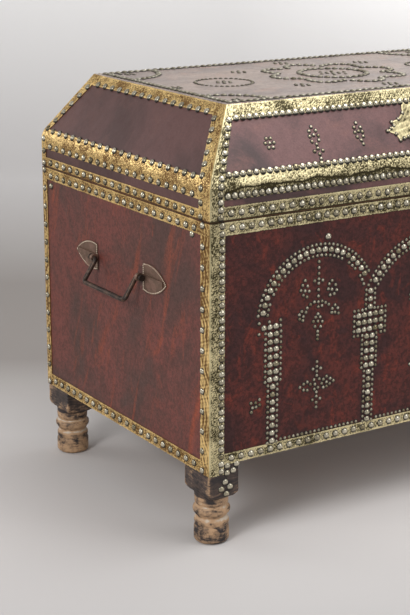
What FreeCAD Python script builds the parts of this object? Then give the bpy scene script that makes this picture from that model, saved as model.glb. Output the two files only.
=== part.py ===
import FreeCAD, Part
import math
import os
import re

import Sketcher

# Dowry chest of leather-covered boards with brass strips and dome nails
# Frame: X along the front, -Y out of the front, Z up, origin on the floor under the middle

os.makedirs("parts", exist_ok=True)
doc = FreeCAD.newDocument("dowry_chest")
sheet = doc.addObject("Spreadsheet::Sheet", "sizes")

# Driving sizes in millimetres, angles in degrees
SIZES = (
    ("case_length", 814),
    ("case_depth", 516),
    ("seam_height", 504),
    ("end_bottom", 118),
    ("front_bottom", 133),
    ("board", 18),
    ("base_thickness", 16),
    ("top_thickness", 16),
    ("leather", 2),
    ("brass", 1),
    ("seam_gap", 0.8),
    ("hide_gap", 1),
    ("knee_rise", 56.5),
    ("lid_rise", 99.5),
    ("knee_radius", 40),
    ("front_inset", 62),
    ("end_inset", 68),
    ("overrun", 5),
    ("corner_front_leg", 26),
    ("corner_end_leg", 24),
    ("corner_back_leg", 16),
    ("rim_strip_height", 20),
    ("front_base_strip_height", 17.5),
    ("end_base_strip_height", 20.5),
    ("hip_front_leg", 24),
    ("hip_front_top_leg", 12.5),
    ("hip_end_leg", 29),
    ("hip_back_leg", 14),
    ("hip_back_top_leg", 24),
    ("lid_edge_strip_height", 20.5),
    ("end_edge_strip_height", 15.5),
    ("knee_strip_below", 26),
    ("knee_strip_above", 11),
    ("end_knee_strip_above", 7),
    ("top_strip_drop", 20.5),
    ("end_top_strip_drop", 16),
    ("foot_width", 53),
    ("foot_depth", 70),
    ("foot_block_bottom", 75),
    ("foot_ear_radius", 15),
    ("foot_sole_radius", 20),
    ("foot_ball_radius", 27),
    ("foot_ball_height", 27),
    ("foot_ring_top", 38),
    ("foot_neck_radius", 22.5),
    ("foot_neck_height", 42),
    ("foot_collar_radius", 26.5),
    ("foot_collar_bottom", 47),
    ("foot_collar_top", 58),
    ("foot_groove_radius", 24),
    ("foot_groove_height", 61),
    ("foot_shoulder_bottom", 64),
    ("foot_shoulder_inset", 0.5),
    ("foot_edge_round", 5),
    ("handle_drop", 119),
    ("eye_spacing", 144),
    ("eye_ring_radius", 6.5),
    ("eye_ring_width", 6),
    ("strap_length", 62),
    ("strap_height", 9.5),
    ("strap_thickness", 2.5),
    ("plate_thickness", 1.5),
    ("leaf_height", 46),
    ("leaf_tip_reach", 52),
    ("leaf_root_reach", 18),
    ("bail_rod_radius", 3.8),
    ("bail_bar_length", 131),
    ("bail_leg_length", 42),
    ("bail_rest_angle", 33),
    ("bail_bend_radius", 7),
    ("bail_end_reach", 7),
    ("bail_head_radius", 5.2),
    ("bail_head_thickness", 2.5),
    ("pin_clearance", 0.05),
    ("hinge_spacing", 270),
    ("hinge_pin_radius", 2.5),
    ("knuckle_radius", 5),
    ("knuckle_length", 15),
    ("knuckle_gap", 0.4),
    ("leaf_thickness", 2),
    ("hinge_leaf_height", 36),
    ("lock_plate_width", 48),
    ("lock_plate_height", 32),
    ("lock_plate_round", 9),
    ("staple_thickness", 4),
    ("staple_height", 18),
    ("staple_reach", 19),
    ("staple_hole_radius", 3.5),
    ("hasp_width", 30),
    ("hasp_thickness", 3),
    ("hasp_standoff", 4.7),
    ("hasp_drop", 38),
    ("hasp_pivot_rise", 33.5),
    ("hasp_barrel_radius", 5.5),
    ("hasp_pin_radius", 3),
    ("hasp_slot_clearance", 3),
    ("hanger_gap", 1),
    ("hanger_lug_width", 6),
    ("hanger_lug_height", 11),
    ("star_half_width", 71),
    ("star_gap", 5),
    ("star_top_gap", 1.9),
    ("large_nail_radius", 5.3),
    ("large_nail_rise", 3.4),
    ("large_shank_radius", 1.2),
    ("large_shank_length", 13),
    ("small_nail_radius", 2.95),
    ("small_nail_rise", 1.95),
    ("small_shank_radius", 0.8),
    ("small_shank_length", 9),
    ("nail_gap", 0.15),
    ("dense_pitch", 11.75),
    ("rim_pitch", 17),
    ("base_pitch", 17.8),
    ("sparse_pitch", 23),
    ("open_pitch", 31),
    ("hip_pitch", 18.5),
    ("small_pitch", 8),
    ("top_border_pitch", 12),
    ("corner_nail_inset", 21.3),
    ("end_corner_nail_inset", 18.5),
    ("back_corner_nail_inset", 8.5),
    ("foot_nail_pitch", 11),
    ("foot_diamond_height", 96),
    ("outer_column_x", 297),
    ("inner_column_x", 115),
    ("outer_arch_x", 215),
    ("outer_arch_height", 338),
    ("outer_arch_radius", 102.5),
    ("middle_arch_height", 307.5),
    ("middle_arch_radius", 127.5),
    ("capital_height", 302),
    ("outer_capital_height", 334),
    ("stray_nail_x", 199),
    ("stray_nail_height", 459),
    ("motif_upper_height", 360),
    ("motif_lower_height", 229.5),
    ("motif_pitch", 7.6),
    ("spray_height", 214),
    ("slope_rosette_x", 289),
    ("slope_flower_x", 208),
    ("slope_diamond_x", 125),
    ("top_border_inset", 14),
    ("top_corner_radius", 73),
    ("top_back_corner_radius", 88),
    ("top_ring_x", 216),
    ("top_ring_radius", 46),
    ("top_rosette_radius", 11.4),
    ("medallion_ring_radius", 56),
    ("medallion_lobe_radius", 117),
    ("medallion_cusp_radius", 85),
    ("top_cluster_x", 128),
    ("top_cluster_y", 90),
    ("top_cluster_reach", 150),
)

# Sizes that follow from the driving ones, worked out in the sheet itself
DERIVED = (
    ("half_length", "case_length / 2"),
    ("half_depth", "case_depth / 2"),
    ("skin", "leather + brass"),
    ("outer_half_length", "half_length + skin"),
    ("outer_half_depth", "half_depth + skin"),
    ("knee_height", "seam_height + knee_rise"),
    ("total_height", "knee_height + lid_rise"),
    ("front_turn", "atan(front_inset / lid_rise) / 1deg"),
    ("end_turn", "atan(end_inset / lid_rise) / 1deg"),
    ("board_depth", "skin + board"),
    ("knee_strip_bottom", "knee_height - knee_strip_below"),
    ("knee_strip_top", "knee_height + knee_strip_above"),
    ("end_knee_strip_top", "knee_height + end_knee_strip_above"),
    ("rim_strip_bottom", "seam_height - seam_gap - rim_strip_height"),
    ("lid_edge_strip_top", "seam_height + seam_gap + lid_edge_strip_height"),
    ("end_edge_strip_top", "seam_height + seam_gap + end_edge_strip_height"),
    ("top_strip_bottom", "total_height - top_strip_drop"),
    ("end_top_strip_bottom", "total_height - end_top_strip_drop"),
    ("top_board_bottom", "total_height - leather - top_thickness"),
    ("eye_hole_radius", "bail_rod_radius + pin_clearance"),
    ("eye_axis_offset", "half_length + leather + plate_thickness + eye_ring_radius"),
    ("hinge_axis_y", "outer_half_depth + knuckle_radius"),
    ("hinge_width", "3 * knuckle_length"),
    ("staple_centre_height", "seam_height - seam_gap - lock_plate_height / 2"),
    ("hasp_middle", "hasp_standoff + hasp_thickness / 2"),
    ("hasp_bottom", "seam_height - hasp_drop"),
    ("hasp_pivot_height", "knee_height + hasp_pivot_rise"),
    ("handle_height", "seam_height - handle_drop"),
    ("star_rise", "top_strip_bottom - knee_strip_top - star_gap - star_top_gap"),
    ("star_height", "star_rise / cos(front_turn * 1deg)"),
    ("foot_shoulder_radius", "foot_width / 2 - foot_shoulder_inset"),
)

NAMES = [name for name, value in SIZES] + [name for name, formula in DERIVED]
for row, (name, value) in enumerate(SIZES, start=1):
    sheet.set("A%d" % row, name)
    sheet.set("B%d" % row, str(value))
    sheet.setAlias("B%d" % row, name)
for row, (name, formula) in enumerate(DERIVED, start=1):
    sheet.set("C%d" % row, name)
    sheet.set("D%d" % row, "=" + formula)
    sheet.setAlias("D%d" % row, name)
doc.recompute()
SIZE = {name: float(sheet.get(name)) for name in NAMES}

X, Y, Z = FreeCAD.Vector(1, 0, 0), FreeCAD.Vector(0, 1, 0), FreeCAD.Vector(0, 0, 1)
WORD = re.compile(r"[a-z_]+[a-z]")


def bound(text):
    """The text of a formula with each size's name led back to the sheet."""
    return WORD.sub(lambda found: "sizes." + found.group() if found.group() in NAMES else found.group(), text)


def bind(item, prop, text):
    item.setExpression(prop, bound(text))


def reckon(text):
    """The number that a formula gives, worked out in a spare cell of the sheet."""
    sheet.set("F1", "=" + text)
    sheet.recompute()
    return float(sheet.get("F1"))


def place(item, spot, axis=None, angle=0):
    """Set an object's place by formulas, turned by an angle about an axis."""
    item.Placement = FreeCAD.Placement(FreeCAD.Vector(), FreeCAD.Rotation(axis or Z, angle))
    for letter, text in zip("xyz", spot):
        bind(item, "Placement.Base." + letter, text)


def box(name, size, corner):
    item = doc.addObject("Part::Box", name)
    for prop, text in zip(("Length", "Width", "Height"), size):
        bind(item, prop, text)
    place(item, corner)
    return item


def cylinder(name, radius, length, start, axis="z"):
    item = doc.addObject("Part::Cylinder", name)
    bind(item, "Radius", radius)
    bind(item, "Height", length)
    turns = {"z": (Z, 0), "x": (Y, 90), "y": (X, -90)}
    place(item, start, *turns[axis])
    return item


def fuse(name, pieces):
    item = doc.addObject("Part::MultiFuse", name)
    item.Shapes = pieces
    item.Refine = True
    return item


def cut(name, base, tool):
    item = doc.addObject("Part::Cut", name)
    item.Base = base
    item.Tool = tool
    item.Refine = True
    return item


def common(name, pieces):
    item = doc.addObject("Part::MultiCommon", name)
    item.Shapes = pieces
    return item


def group(name, pieces):
    item = doc.addObject("Part::Compound", name)
    item.Links = pieces
    return item


def mirrored_in_x(name, source):
    item = doc.addObject("Part::Mirroring", name)
    item.Source = source
    item.Normal = X
    return item


def mirrored_in_y(name, source):
    item = doc.addObject("Part::Mirroring", name)
    item.Source = source
    item.Normal = Y
    return item


def new_body(name):
    item = doc.addObject("PartDesign::Body", name)
    item.Label = name
    return item


def outline(body, plane, corners, arcs=None):
    """A closed sketch through corners given as formulas; arcs maps a side's number to its radius."""
    arcs = arcs or {}
    sketch = body.newObject("Sketcher::SketchObject", body.Name + "_outline")
    for feature in body.Origin.OriginFeatures:
        if feature.Role == plane:
            sketch.AttachmentSupport = (feature, "")
    sketch.MapMode = "FlatFace"
    spots = [FreeCAD.Vector(reckon(across), reckon(up), 0) for across, up in corners]
    for side, start in enumerate(spots):
        end = spots[(side + 1) % len(spots)]
        if side in arcs:
            sketch.addGeometry(bulge(start, end, reckon(arcs[side])))
        else:
            sketch.addGeometry(Part.LineSegment(start, end))
    for side in range(len(spots)):
        following = (side + 1) % len(spots)
        sketch.addConstraint(Sketcher.Constraint("Coincident", side, 2, following, 1))
    for side, (across, up) in enumerate(corners):
        number = sketch.addConstraint(Sketcher.Constraint("DistanceX", -1, 1, side, 1, spots[side].x))
        bind(sketch, "Constraints[%d]" % number, across)
        number = sketch.addConstraint(Sketcher.Constraint("DistanceY", -1, 1, side, 1, spots[side].y))
        bind(sketch, "Constraints[%d]" % number, up)
        if side in arcs:
            number = sketch.addConstraint(Sketcher.Constraint("Radius", side, reckon(arcs[side])))
            bind(sketch, "Constraints[%d]" % number, arcs[side])
    return sketch


def bulge(start, end, radius):
    """The short arc from start to end that swells to the right of the way from one to the other."""
    chord = end - start
    middle = (start + end) * 0.5
    side = FreeCAD.Vector(chord.y, -chord.x, 0).normalize()
    depth = math.sqrt(max(radius ** 2 - (chord.Length / 2) ** 2, 0))
    crest = middle + side * (radius - depth)
    arc = Part.Arc(start, crest, end)
    return arc


def pad(body, sketch, length, midplane=False, backwards=False):
    item = body.newObject("PartDesign::Pad", body.Name + "_pad_" + sketch.Name)
    item.Profile = sketch
    item.Midplane = midplane
    item.Reversed = backwards
    bind(item, "Length", length)
    return item


NODES = {}


def keep(node, item):
    """Mark a finished object as the node of that name."""
    item.Label = node
    NODES[node] = item


# Boards of the body

keep("base_board", box(
    "base_board",
    ("case_length - 2 * board", "case_depth - 2 * board", "base_thickness"),
    ("board - half_length", "board - half_depth", "front_bottom"),
))
for node, corner in (("front_board", "-half_depth"), ("back_board", "half_depth - board")):
    keep(node, box(
        node,
        ("case_length", "board", "seam_height - front_bottom"),
        ("-half_length", corner, "front_bottom"),
    ))
for node, corner in (("left_board", "-half_length"), ("right_board", "half_length - board")):
    keep(node, box(
        node,
        ("board", "case_depth - 2 * board", "seam_height - end_bottom"),
        (corner, "board - half_depth", "end_bottom"),
    ))

# Leather skins of the body; the end skins wrap past the edges of the front and back ones

for node, corner in (("front_leather", "-half_depth - leather"), ("back_leather", "half_depth")):
    keep(node, box(
        node,
        ("case_length", "leather", "seam_height - seam_gap - front_bottom"),
        ("-half_length", corner, "front_bottom"),
    ))
for node, corner in (("left_leather", "-half_length - leather"), ("right_leather", "half_length")):
    keep(node, box(
        node,
        ("leather", "case_depth + 2 * leather", "seam_height - seam_gap - end_bottom"),
        (corner, "-half_depth - leather", "end_bottom"),
    ))

# Turned feet with a block above, whose lower edges are rounded over the turned part


def foot(name):
    """The front left foot, in its own frame with its outer corner at zero."""
    body = new_body(name)
    block = outline(body, "XY_Plane", (
        ("0", "0"), ("foot_width", "0"), ("foot_width", "foot_depth"), ("0", "foot_depth"),
    ))
    block.AttachmentOffset = FreeCAD.Placement()
    bind(block, "AttachmentOffset.Base.z", "foot_block_bottom")
    square = pad(body, block, "end_bottom - foot_block_bottom")
    doc.recompute()
    ears = body.newObject("PartDesign::Fillet", name + "_ears")
    under = SIZE["foot_block_bottom"]
    picked = []
    for number, edge in enumerate(square.Shape.Edges, start=1):
        if abs(edge.BoundBox.Center.z - under) < SIZE["seam_gap"]:
            picked.append("Edge%d" % number)
    ears.Base = (square, picked)
    bind(ears, "Radius", "foot_ear_radius")
    turned = outline(body, "XZ_Plane", (
        ("0", "0"),
        ("foot_sole_radius", "0"),
        ("foot_ball_radius", "foot_edge_round"),
        ("foot_ball_radius", "foot_ball_height - foot_edge_round / 2"),
        ("foot_ball_radius - foot_edge_round / 3", "foot_ball_height + foot_edge_round / 5"),
        ("foot_ball_radius - foot_edge_round / 3", "foot_ring_top"),
        ("foot_neck_radius", "foot_neck_height"),
        ("foot_collar_radius", "foot_collar_bottom"),
        ("foot_collar_radius", "foot_collar_top"),
        ("foot_groove_radius", "foot_groove_height"),
        ("foot_shoulder_radius", "foot_shoulder_bottom"),
        ("foot_shoulder_radius", "foot_block_bottom + foot_ear_radius"),
        ("0", "foot_block_bottom + foot_ear_radius"),
    ), {
        1: "foot_edge_round * 1.6",
        4: "foot_ring_top - foot_ball_height",
        7: "(foot_collar_top - foot_collar_bottom) * 0.7",
    })
    turned.AttachmentOffset = FreeCAD.Placement()
    bind(turned, "AttachmentOffset.Base.x", "foot_width / 2")
    bind(turned, "AttachmentOffset.Base.z", "-foot_depth / 2")
    spin = body.newObject("PartDesign::Revolution", name + "_turning")
    spin.Profile = turned
    spin.ReferenceAxis = (turned, ["V_Axis"])
    spin.Angle = 360
    rise = outline(body, "XY_Plane", (
        ("leather", "0"),
        ("foot_width", "0"),
        ("foot_width", "foot_depth"),
        ("leather + board", "foot_depth"),
        ("leather + board", "leather + board"),
        ("leather", "leather + board"),
    ))
    rise.AttachmentOffset = FreeCAD.Placement()
    bind(rise, "AttachmentOffset.Base.z", "end_bottom")
    pad(body, rise, "front_bottom - end_bottom")
    place(body, ("-half_length - leather", "-half_depth - leather", "0"))
    return body


front_left = foot("foot_front_left")
keep("foot_front_left", front_left)
keep("foot_front_right", mirrored_in_x("foot_front_right", front_left))
keep("foot_back_left", mirrored_in_y("foot_back_left", front_left))
keep("foot_back_right", mirrored_in_y("foot_back_right", NODES["foot_front_right"]))

# Brass strips of the body: an angle on each upright edge, flat strips round the rim and the base


def corner_strip(name, end_leg):
    """An angle in the front left corner's place, with its legs along the front and the end."""
    body = new_body(name)
    section = outline(body, "XY_Plane", (
        ("0", "0"),
        ("corner_front_leg", "0"),
        ("corner_front_leg", "brass"),
        ("brass", "brass"),
        ("brass", end_leg),
        ("0", end_leg),
    ))
    pad(body, section, "seam_height - seam_gap - end_bottom")
    place(body, ("-outer_half_length", "-outer_half_depth", "end_bottom"))
    return body


corner_front_left = corner_strip("corner_strip_front_left", "corner_end_leg")
back_angle = corner_strip("back_angle", "corner_back_leg")
keep("corner_strip_front_left", corner_front_left)
keep("corner_strip_front_right", mirrored_in_x("corner_strip_front_right", corner_front_left))
keep("corner_strip_back_left", mirrored_in_y("corner_strip_back_left", back_angle))
keep("corner_strip_back_right", mirrored_in_x("corner_strip_back_right", NODES["corner_strip_back_left"]))

long_run = "2 * (outer_half_length - corner_front_leg)"
short_run = "2 * outer_half_depth - corner_end_leg - corner_back_leg"
rims = []
bases = []
for side, y_place in (("front", "-outer_half_depth"), ("back", "outer_half_depth - brass")):
    rims.append(box(
        "rim_strip_" + side,
        (long_run, "brass", "rim_strip_height"),
        ("corner_front_leg - outer_half_length", y_place, "rim_strip_bottom"),
    ))
    bases.append(box(
        "base_strip_" + side,
        (long_run, "brass", "front_base_strip_height"),
        ("corner_front_leg - outer_half_length", y_place, "front_bottom"),
    ))
for side, x_place in (("left", "-outer_half_length"), ("right", "outer_half_length - brass")):
    rims.append(box(
        "rim_strip_" + side,
        ("brass", short_run, "rim_strip_height"),
        (x_place, "corner_end_leg - outer_half_depth", "rim_strip_bottom"),
    ))
    bases.append(box(
        "base_strip_" + side,
        ("brass", short_run, "end_base_strip_height"),
        (x_place, "corner_end_leg - outer_half_depth", "end_bottom"),
    ))
keep("rim_strips", group("rim_strips", rims))
keep("base_strips", group("base_strips", bases))

# Lid: nested hipped envelopes with a rounded knee; each piece is what lies between two of them


def turn_of(side):
    return math.radians(SIZE["front_turn"] if side == "front" else SIZE["end_turn"])


def outer_half(side):
    return SIZE["outer_half_depth"] if side == "front" else SIZE["outer_half_length"]


def knee_points(side, depth):
    """How far in and how high the knee's arc starts, crests and ends, at a depth under the brass."""
    turn = turn_of(side)
    radius = SIZE["knee_radius"]
    start_height = SIZE["knee_height"] - radius * math.tan(turn / 2)
    spots = []
    for angle in (0, turn / 2, turn):
        inset = radius - (radius - depth) * math.cos(angle)
        spots.append((inset, start_height + (radius - depth) * math.sin(angle)))
    return spots


def lid_half(side, depth, height):
    """Half the lid's width at a height, at a depth under the outer brass."""
    start, crest, end = knee_points(side, depth)
    if height <= start[1]:
        inset = depth
    elif height >= end[1]:
        inset = end[0] + (height - end[1]) * math.tan(turn_of(side))
    else:
        reach = SIZE["knee_radius"] - depth
        inset = SIZE["knee_radius"] - math.sqrt(reach ** 2 - (height - start[1]) ** 2)
    return outer_half(side) - inset


def section_face(side, depth, bottom, top):
    """The lid's section at a depth, as a face in the plane across that side."""
    half = outer_half(side)
    start, crest, end = knee_points(side, depth)

    def spot(sign, inset, height):
        across = sign * (half - inset)
        if side == "front":
            return FreeCAD.Vector(0, across, height)
        return FreeCAD.Vector(across, 0, height)

    left = [spot(-1, depth, bottom)] + [spot(-1, *point) for point in (start, crest, end)]
    right = [spot(1, depth, bottom)] + [spot(1, *point) for point in (start, crest, end)]
    top_left = spot(-1, half - lid_half(side, depth, top), top)
    top_right = spot(1, half - lid_half(side, depth, top), top)
    edges = [
        Part.makeLine(left[0], left[1]),
        Part.Arc(left[1], left[2], left[3]).toShape(),
        Part.makeLine(left[3], top_left),
        Part.makeLine(top_left, top_right),
        Part.makeLine(top_right, right[3]),
        Part.Arc(right[3], right[2], right[1]).toShape(),
        Part.makeLine(right[1], right[0]),
        Part.makeLine(right[0], left[0]),
    ]
    return Part.Face(Part.Wire(edges))


def envelope(depth, bottom, top):
    """The lid's whole form at a depth: the long section and the cross section, both run through."""
    across_reach = SIZE["outer_half_length"] + SIZE["overrun"] - depth
    along_reach = SIZE["outer_half_depth"] + SIZE["overrun"] - depth
    run = section_face("front", depth, bottom, top)
    run.translate(X * -across_reach)
    run = run.extrude(X * 2 * across_reach)
    cross = section_face("end", depth, bottom, top)
    cross.translate(Y * -along_reach)
    cross = cross.extrude(Y * 2 * along_reach)
    return run.common(cross)


def slab(bottom, top):
    """A flat block wider than the lid, between two heights."""
    reach_x = SIZE["outer_half_length"] + SIZE["overrun"]
    reach_y = SIZE["outer_half_depth"] + SIZE["overrun"]
    corner = FreeCAD.Vector(-reach_x, -reach_y, bottom)
    return Part.makeBox(2 * reach_x, 2 * reach_y, top - bottom, corner)


def upright(corners):
    """An upright prism through the lid over corners given in plan."""
    spots = [FreeCAD.Vector(x, y, SIZE["seam_height"] - SIZE["overrun"]) for x, y in corners]
    face = Part.Face(Part.makePolygon(spots + spots[:1]))
    return face.extrude(Z * (SIZE["total_height"] - SIZE["seam_height"] + 2 * SIZE["overrun"]))


SECTOR_SHARES = (-0.1, 2.5)


def sector(side, sign, gap=0):
    """The part of the plan that one side of the lid takes, mitred a gap short of the hips."""
    corners = []
    for share in SECTOR_SHARES:
        x = SIZE["outer_half_length"] - share * SIZE["end_inset"]
        y = SIZE["outer_half_depth"] - share * SIZE["front_inset"]
        corners.append((x, y))
    (x_out, y_out), (x_in, y_in) = corners
    if side == "front":
        wide, narrow, low, high = x_out - gap, x_in - gap, sign * y_out, sign * y_in
        return upright([(-wide, low), (wide, low), (narrow, high), (-narrow, high)])
    wide, narrow, low, high = y_out - gap, y_in - gap, sign * x_out, sign * x_in
    return upright([(low, -wide), (low, wide), (high, narrow), (high, -narrow)])


HIP_REACH_SHARE = 1.2


def hip_leg(side, sign_y, height):
    """How wide the hip strip is at a height, from the hip along the level on one side."""
    share = min(max((height - SIZE["knee_height"]) / SIZE["lid_rise"], 0), HIP_REACH_SHARE)
    if side == "front":
        low, high = SIZE["hip_front_leg"], SIZE["hip_front_top_leg"]
    elif sign_y < 0:
        low = high = SIZE["hip_end_leg"]
    else:
        low, high = SIZE["hip_back_leg"], SIZE["hip_back_top_leg"]
    return low + (high - low) * share


def hip_region(sign_x, sign_y):
    """The part of the plan that a hip strip covers, on both sides of its hip."""
    length = SIZE["outer_half_length"]
    depth = SIZE["outer_half_depth"]
    far_x = length - HIP_REACH_SHARE * SIZE["end_inset"]
    far_y = depth - HIP_REACH_SHARE * SIZE["front_inset"]
    far_height = SIZE["knee_height"] + HIP_REACH_SHARE * SIZE["lid_rise"]
    front_leg = hip_leg("front", sign_y, SIZE["knee_height"])
    end_leg = hip_leg("end", sign_y, SIZE["knee_height"])
    corners = [
        (length + SIZE["overrun"], depth + SIZE["overrun"]),
        (length - front_leg, depth + SIZE["overrun"]),
        (length - front_leg, depth),
        (far_x - hip_leg("front", sign_y, far_height), far_y),
        (far_x, far_y - hip_leg("end", sign_y, far_height)),
        (length, depth - end_leg),
        (length + SIZE["overrun"], depth - end_leg),
    ]
    return upright([(sign_x * x, sign_y * y) for x, y in corners])


def feature(name, shape):
    """A plain feature that holds a shape made from the sizes."""
    item = doc.addObject("Part::Feature", name)
    item.Shape = shape
    return item


def solids_of(shapes):
    return Part.makeCompound([solid for shape in shapes for solid in shape.Solids])


CORNERS = ((-1, -1), (1, -1), (-1, 1), (1, 1))
SIDES = (("front", "front", -1), ("back", "front", 1), ("left", "end", -1), ("right", "end", 1))
SECTORS = {name: sector(side, sign) for name, side, sign in SIDES}
HIDE_SECTORS = [sector(side, sign, SIZE["hide_gap"]) for name, side, sign in SIDES]
HIPS = [hip_region(*corner) for corner in CORNERS]
ALL_HIPS = HIPS[0].multiFuse(HIPS[1:])

lid_bottom = SIZE["seam_height"]
lid_top = SIZE["total_height"]
wood_top = SIZE["top_board_bottom"]
leather_top = lid_top - SIZE["leather"]
skin_bottom = lid_bottom + SIZE["seam_gap"]
wood_form = envelope(SIZE["skin"], lid_bottom, lid_top)
hollow_form = envelope(SIZE["board_depth"], lid_bottom - SIZE["overrun"], lid_top + SIZE["overrun"])
leather_form = envelope(SIZE["brass"], lid_bottom, lid_top)
brass_form = envelope(0, lid_bottom, lid_top)
wood_shell = wood_form.cut(hollow_form)
leather_shell = leather_form.cut(wood_form)
brass_shell = brass_form.cut(leather_form)
rail_top = knee_points("front", SIZE["skin"])[2][1]

for name, side, sign in SIDES:
    rail = wood_shell.common(slab(lid_bottom, rail_top)).common(SECTORS[name])
    keep("lid_rail_" + name, feature("lid_rail_" + name, rail))
    slope = wood_shell.common(slab(rail_top, wood_top)).common(SECTORS[name])
    keep("lid_slope_" + name, feature("lid_slope_" + name, slope))
keep("lid_top_board", feature("lid_top_board", wood_form.common(slab(wood_top, leather_top))))
keep("lid_top_leather", feature("lid_top_leather", leather_form.common(slab(leather_top, lid_top))))

band = leather_shell.common(slab(skin_bottom, rail_top))
slope_skin = leather_shell.common(slab(rail_top, leather_top))
keep("lid_band_leathers", feature("lid_band_leathers", solids_of(band.common(hide) for hide in HIDE_SECTORS)))
keep("lid_slope_leathers", feature("lid_slope_leathers", solids_of(slope_skin.common(hide) for hide in HIDE_SECTORS)))

between_hips = brass_shell.cut(ALL_HIPS)
for node, front_range, end_range in (
    ("lid_edge_strips", (skin_bottom, SIZE["lid_edge_strip_top"]), (skin_bottom, SIZE["end_edge_strip_top"])),
    (
        "lid_knee_strips",
        (SIZE["knee_strip_bottom"], SIZE["knee_strip_top"]),
        (SIZE["knee_strip_bottom"], SIZE["end_knee_strip_top"]),
    ),
    ("lid_top_strips", (SIZE["top_strip_bottom"], lid_top), (SIZE["end_top_strip_bottom"], lid_top)),
):
    strips = []
    for name, side, sign in SIDES:
        low, high = front_range if side == "front" else end_range
        strips.append(between_hips.common(SECTORS[name]).common(slab(low, high)))
    keep(node, feature(node, solids_of(strips)))
hip_shell = brass_shell.common(slab(skin_bottom, lid_top))
keep("lid_hip_strips", feature("lid_hip_strips", solids_of(hip_shell.common(hip) for hip in HIPS)))

# Star plate on the front slope, cut from sheet brass

STAR_SHARES = (
    (0.40, 1.00), (0.45, 0.80), (0.62, 0.67), (0.82, 0.62), (0.79, 0.53), (1.00, 0.43),
    (0.80, 0.34), (0.74, 0.19), (0.50, 0.26), (0.34, 0.10), (0.14, 0.12), (0.00, 0.00),
)
star = new_body("star_plate")
star_bottom = "(knee_strip_top + star_gap - knee_height) / cos(front_turn * 1deg)"
right_half = [("%s * star_half_width" % x, "%s + %s * star_height" % (star_bottom, y)) for x, y in STAR_SHARES]
left_half = [("-%s * star_half_width" % x, "%s + %s * star_height" % (star_bottom, y)) for x, y in STAR_SHARES]
star_outline = outline(star, "XY_Plane", right_half[::-1] + left_half[:-1])
pad(star, star_outline, "brass", backwards=True)
star.Placement = FreeCAD.Placement(FreeCAD.Vector(), FreeCAD.Rotation(X, 90 - SIZE["front_turn"]))
bind(star, "Placement.Rotation.Angle", "90deg - front_turn * 1deg")
bind(star, "Placement.Base.y", "-outer_half_depth")
bind(star, "Placement.Base.z", "knee_height")
keep("star_plate", star)

# Hasp: a strap that follows the knee, hung on a pin above it, with a slot for the staple


def slope_spot(height, rise):
    """A point in the front slope's section at a height, moved out from the brass by a rise."""
    turn = turn_of("front")
    across = -lid_half("front", 0, height) - rise * math.cos(turn)
    return FreeCAD.Vector(0, across, height + rise * math.sin(turn))


hasp_inner = -SIZE["hasp_standoff"]
hasp_outer = hasp_inner - SIZE["hasp_thickness"]
hasp_bottom = SIZE["hasp_bottom"]
pivot = slope_spot(SIZE["hasp_pivot_height"], SIZE["hasp_middle"])
half_hasp = SIZE["hasp_width"] / 2


def front_prism(depth, bottom, top, half_width):
    face = section_face("front", depth, bottom, top)
    face.translate(X * -half_width)
    return face.extrude(X * 2 * half_width)


strap = front_prism(hasp_outer, hasp_bottom, lid_top, half_hasp)
strap = strap.cut(front_prism(hasp_inner, hasp_bottom - SIZE["overrun"], lid_top + SIZE["overrun"], half_hasp * 2))
strap = strap.common(Part.makeBox(
    2 * SIZE["hasp_width"], outer_half("front") + 2 * SIZE["hasp_width"], pivot.z - hasp_bottom,
    FreeCAD.Vector(-SIZE["hasp_width"], -outer_half("front") - 2 * SIZE["hasp_width"], hasp_bottom),
))
tip = Part.makeCylinder(half_hasp, outer_half("front"), FreeCAD.Vector(0, 0, hasp_bottom + half_hasp), -Y)
tip_zone = Part.makeBox(
    2 * half_hasp, outer_half("front") + 2 * half_hasp, half_hasp,
    FreeCAD.Vector(-half_hasp, -outer_half("front") - 2 * half_hasp, hasp_bottom),
)
long_tip = Part.makeCylinder(
    half_hasp, 2 * outer_half("front"), FreeCAD.Vector(0, 0, hasp_bottom + half_hasp), -Y,
)
strap = strap.cut(tip_zone.cut(long_tip))
barrel = Part.makeCylinder(
    SIZE["hasp_barrel_radius"], SIZE["hasp_width"], pivot - X * half_hasp, X,
)
slot_half = SIZE["staple_thickness"] / 2 + SIZE["hasp_slot_clearance"]
slot_height = SIZE["staple_height"] + 2 * SIZE["hasp_slot_clearance"]
slot = Part.makeBox(
    2 * slot_half, 2 * SIZE["hasp_width"], slot_height,
    FreeCAD.Vector(
        -slot_half, -outer_half("front") - 2 * SIZE["hasp_width"],
        SIZE["staple_centre_height"] - slot_height / 2,
    ),
)
pin_hole = Part.makeCylinder(
    SIZE["hasp_pin_radius"] + SIZE["pin_clearance"], 2 * SIZE["hasp_width"], pivot - X * SIZE["hasp_width"], X,
)
hasp_shape = strap.cut(slot).fuse(barrel).cut(pin_hole).removeSplitter()
keep("hasp", feature("hasp", solids_of([hasp_shape])))

# Hanger: the hasp's pin with a lug at each end, riveted to the star plate

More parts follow.
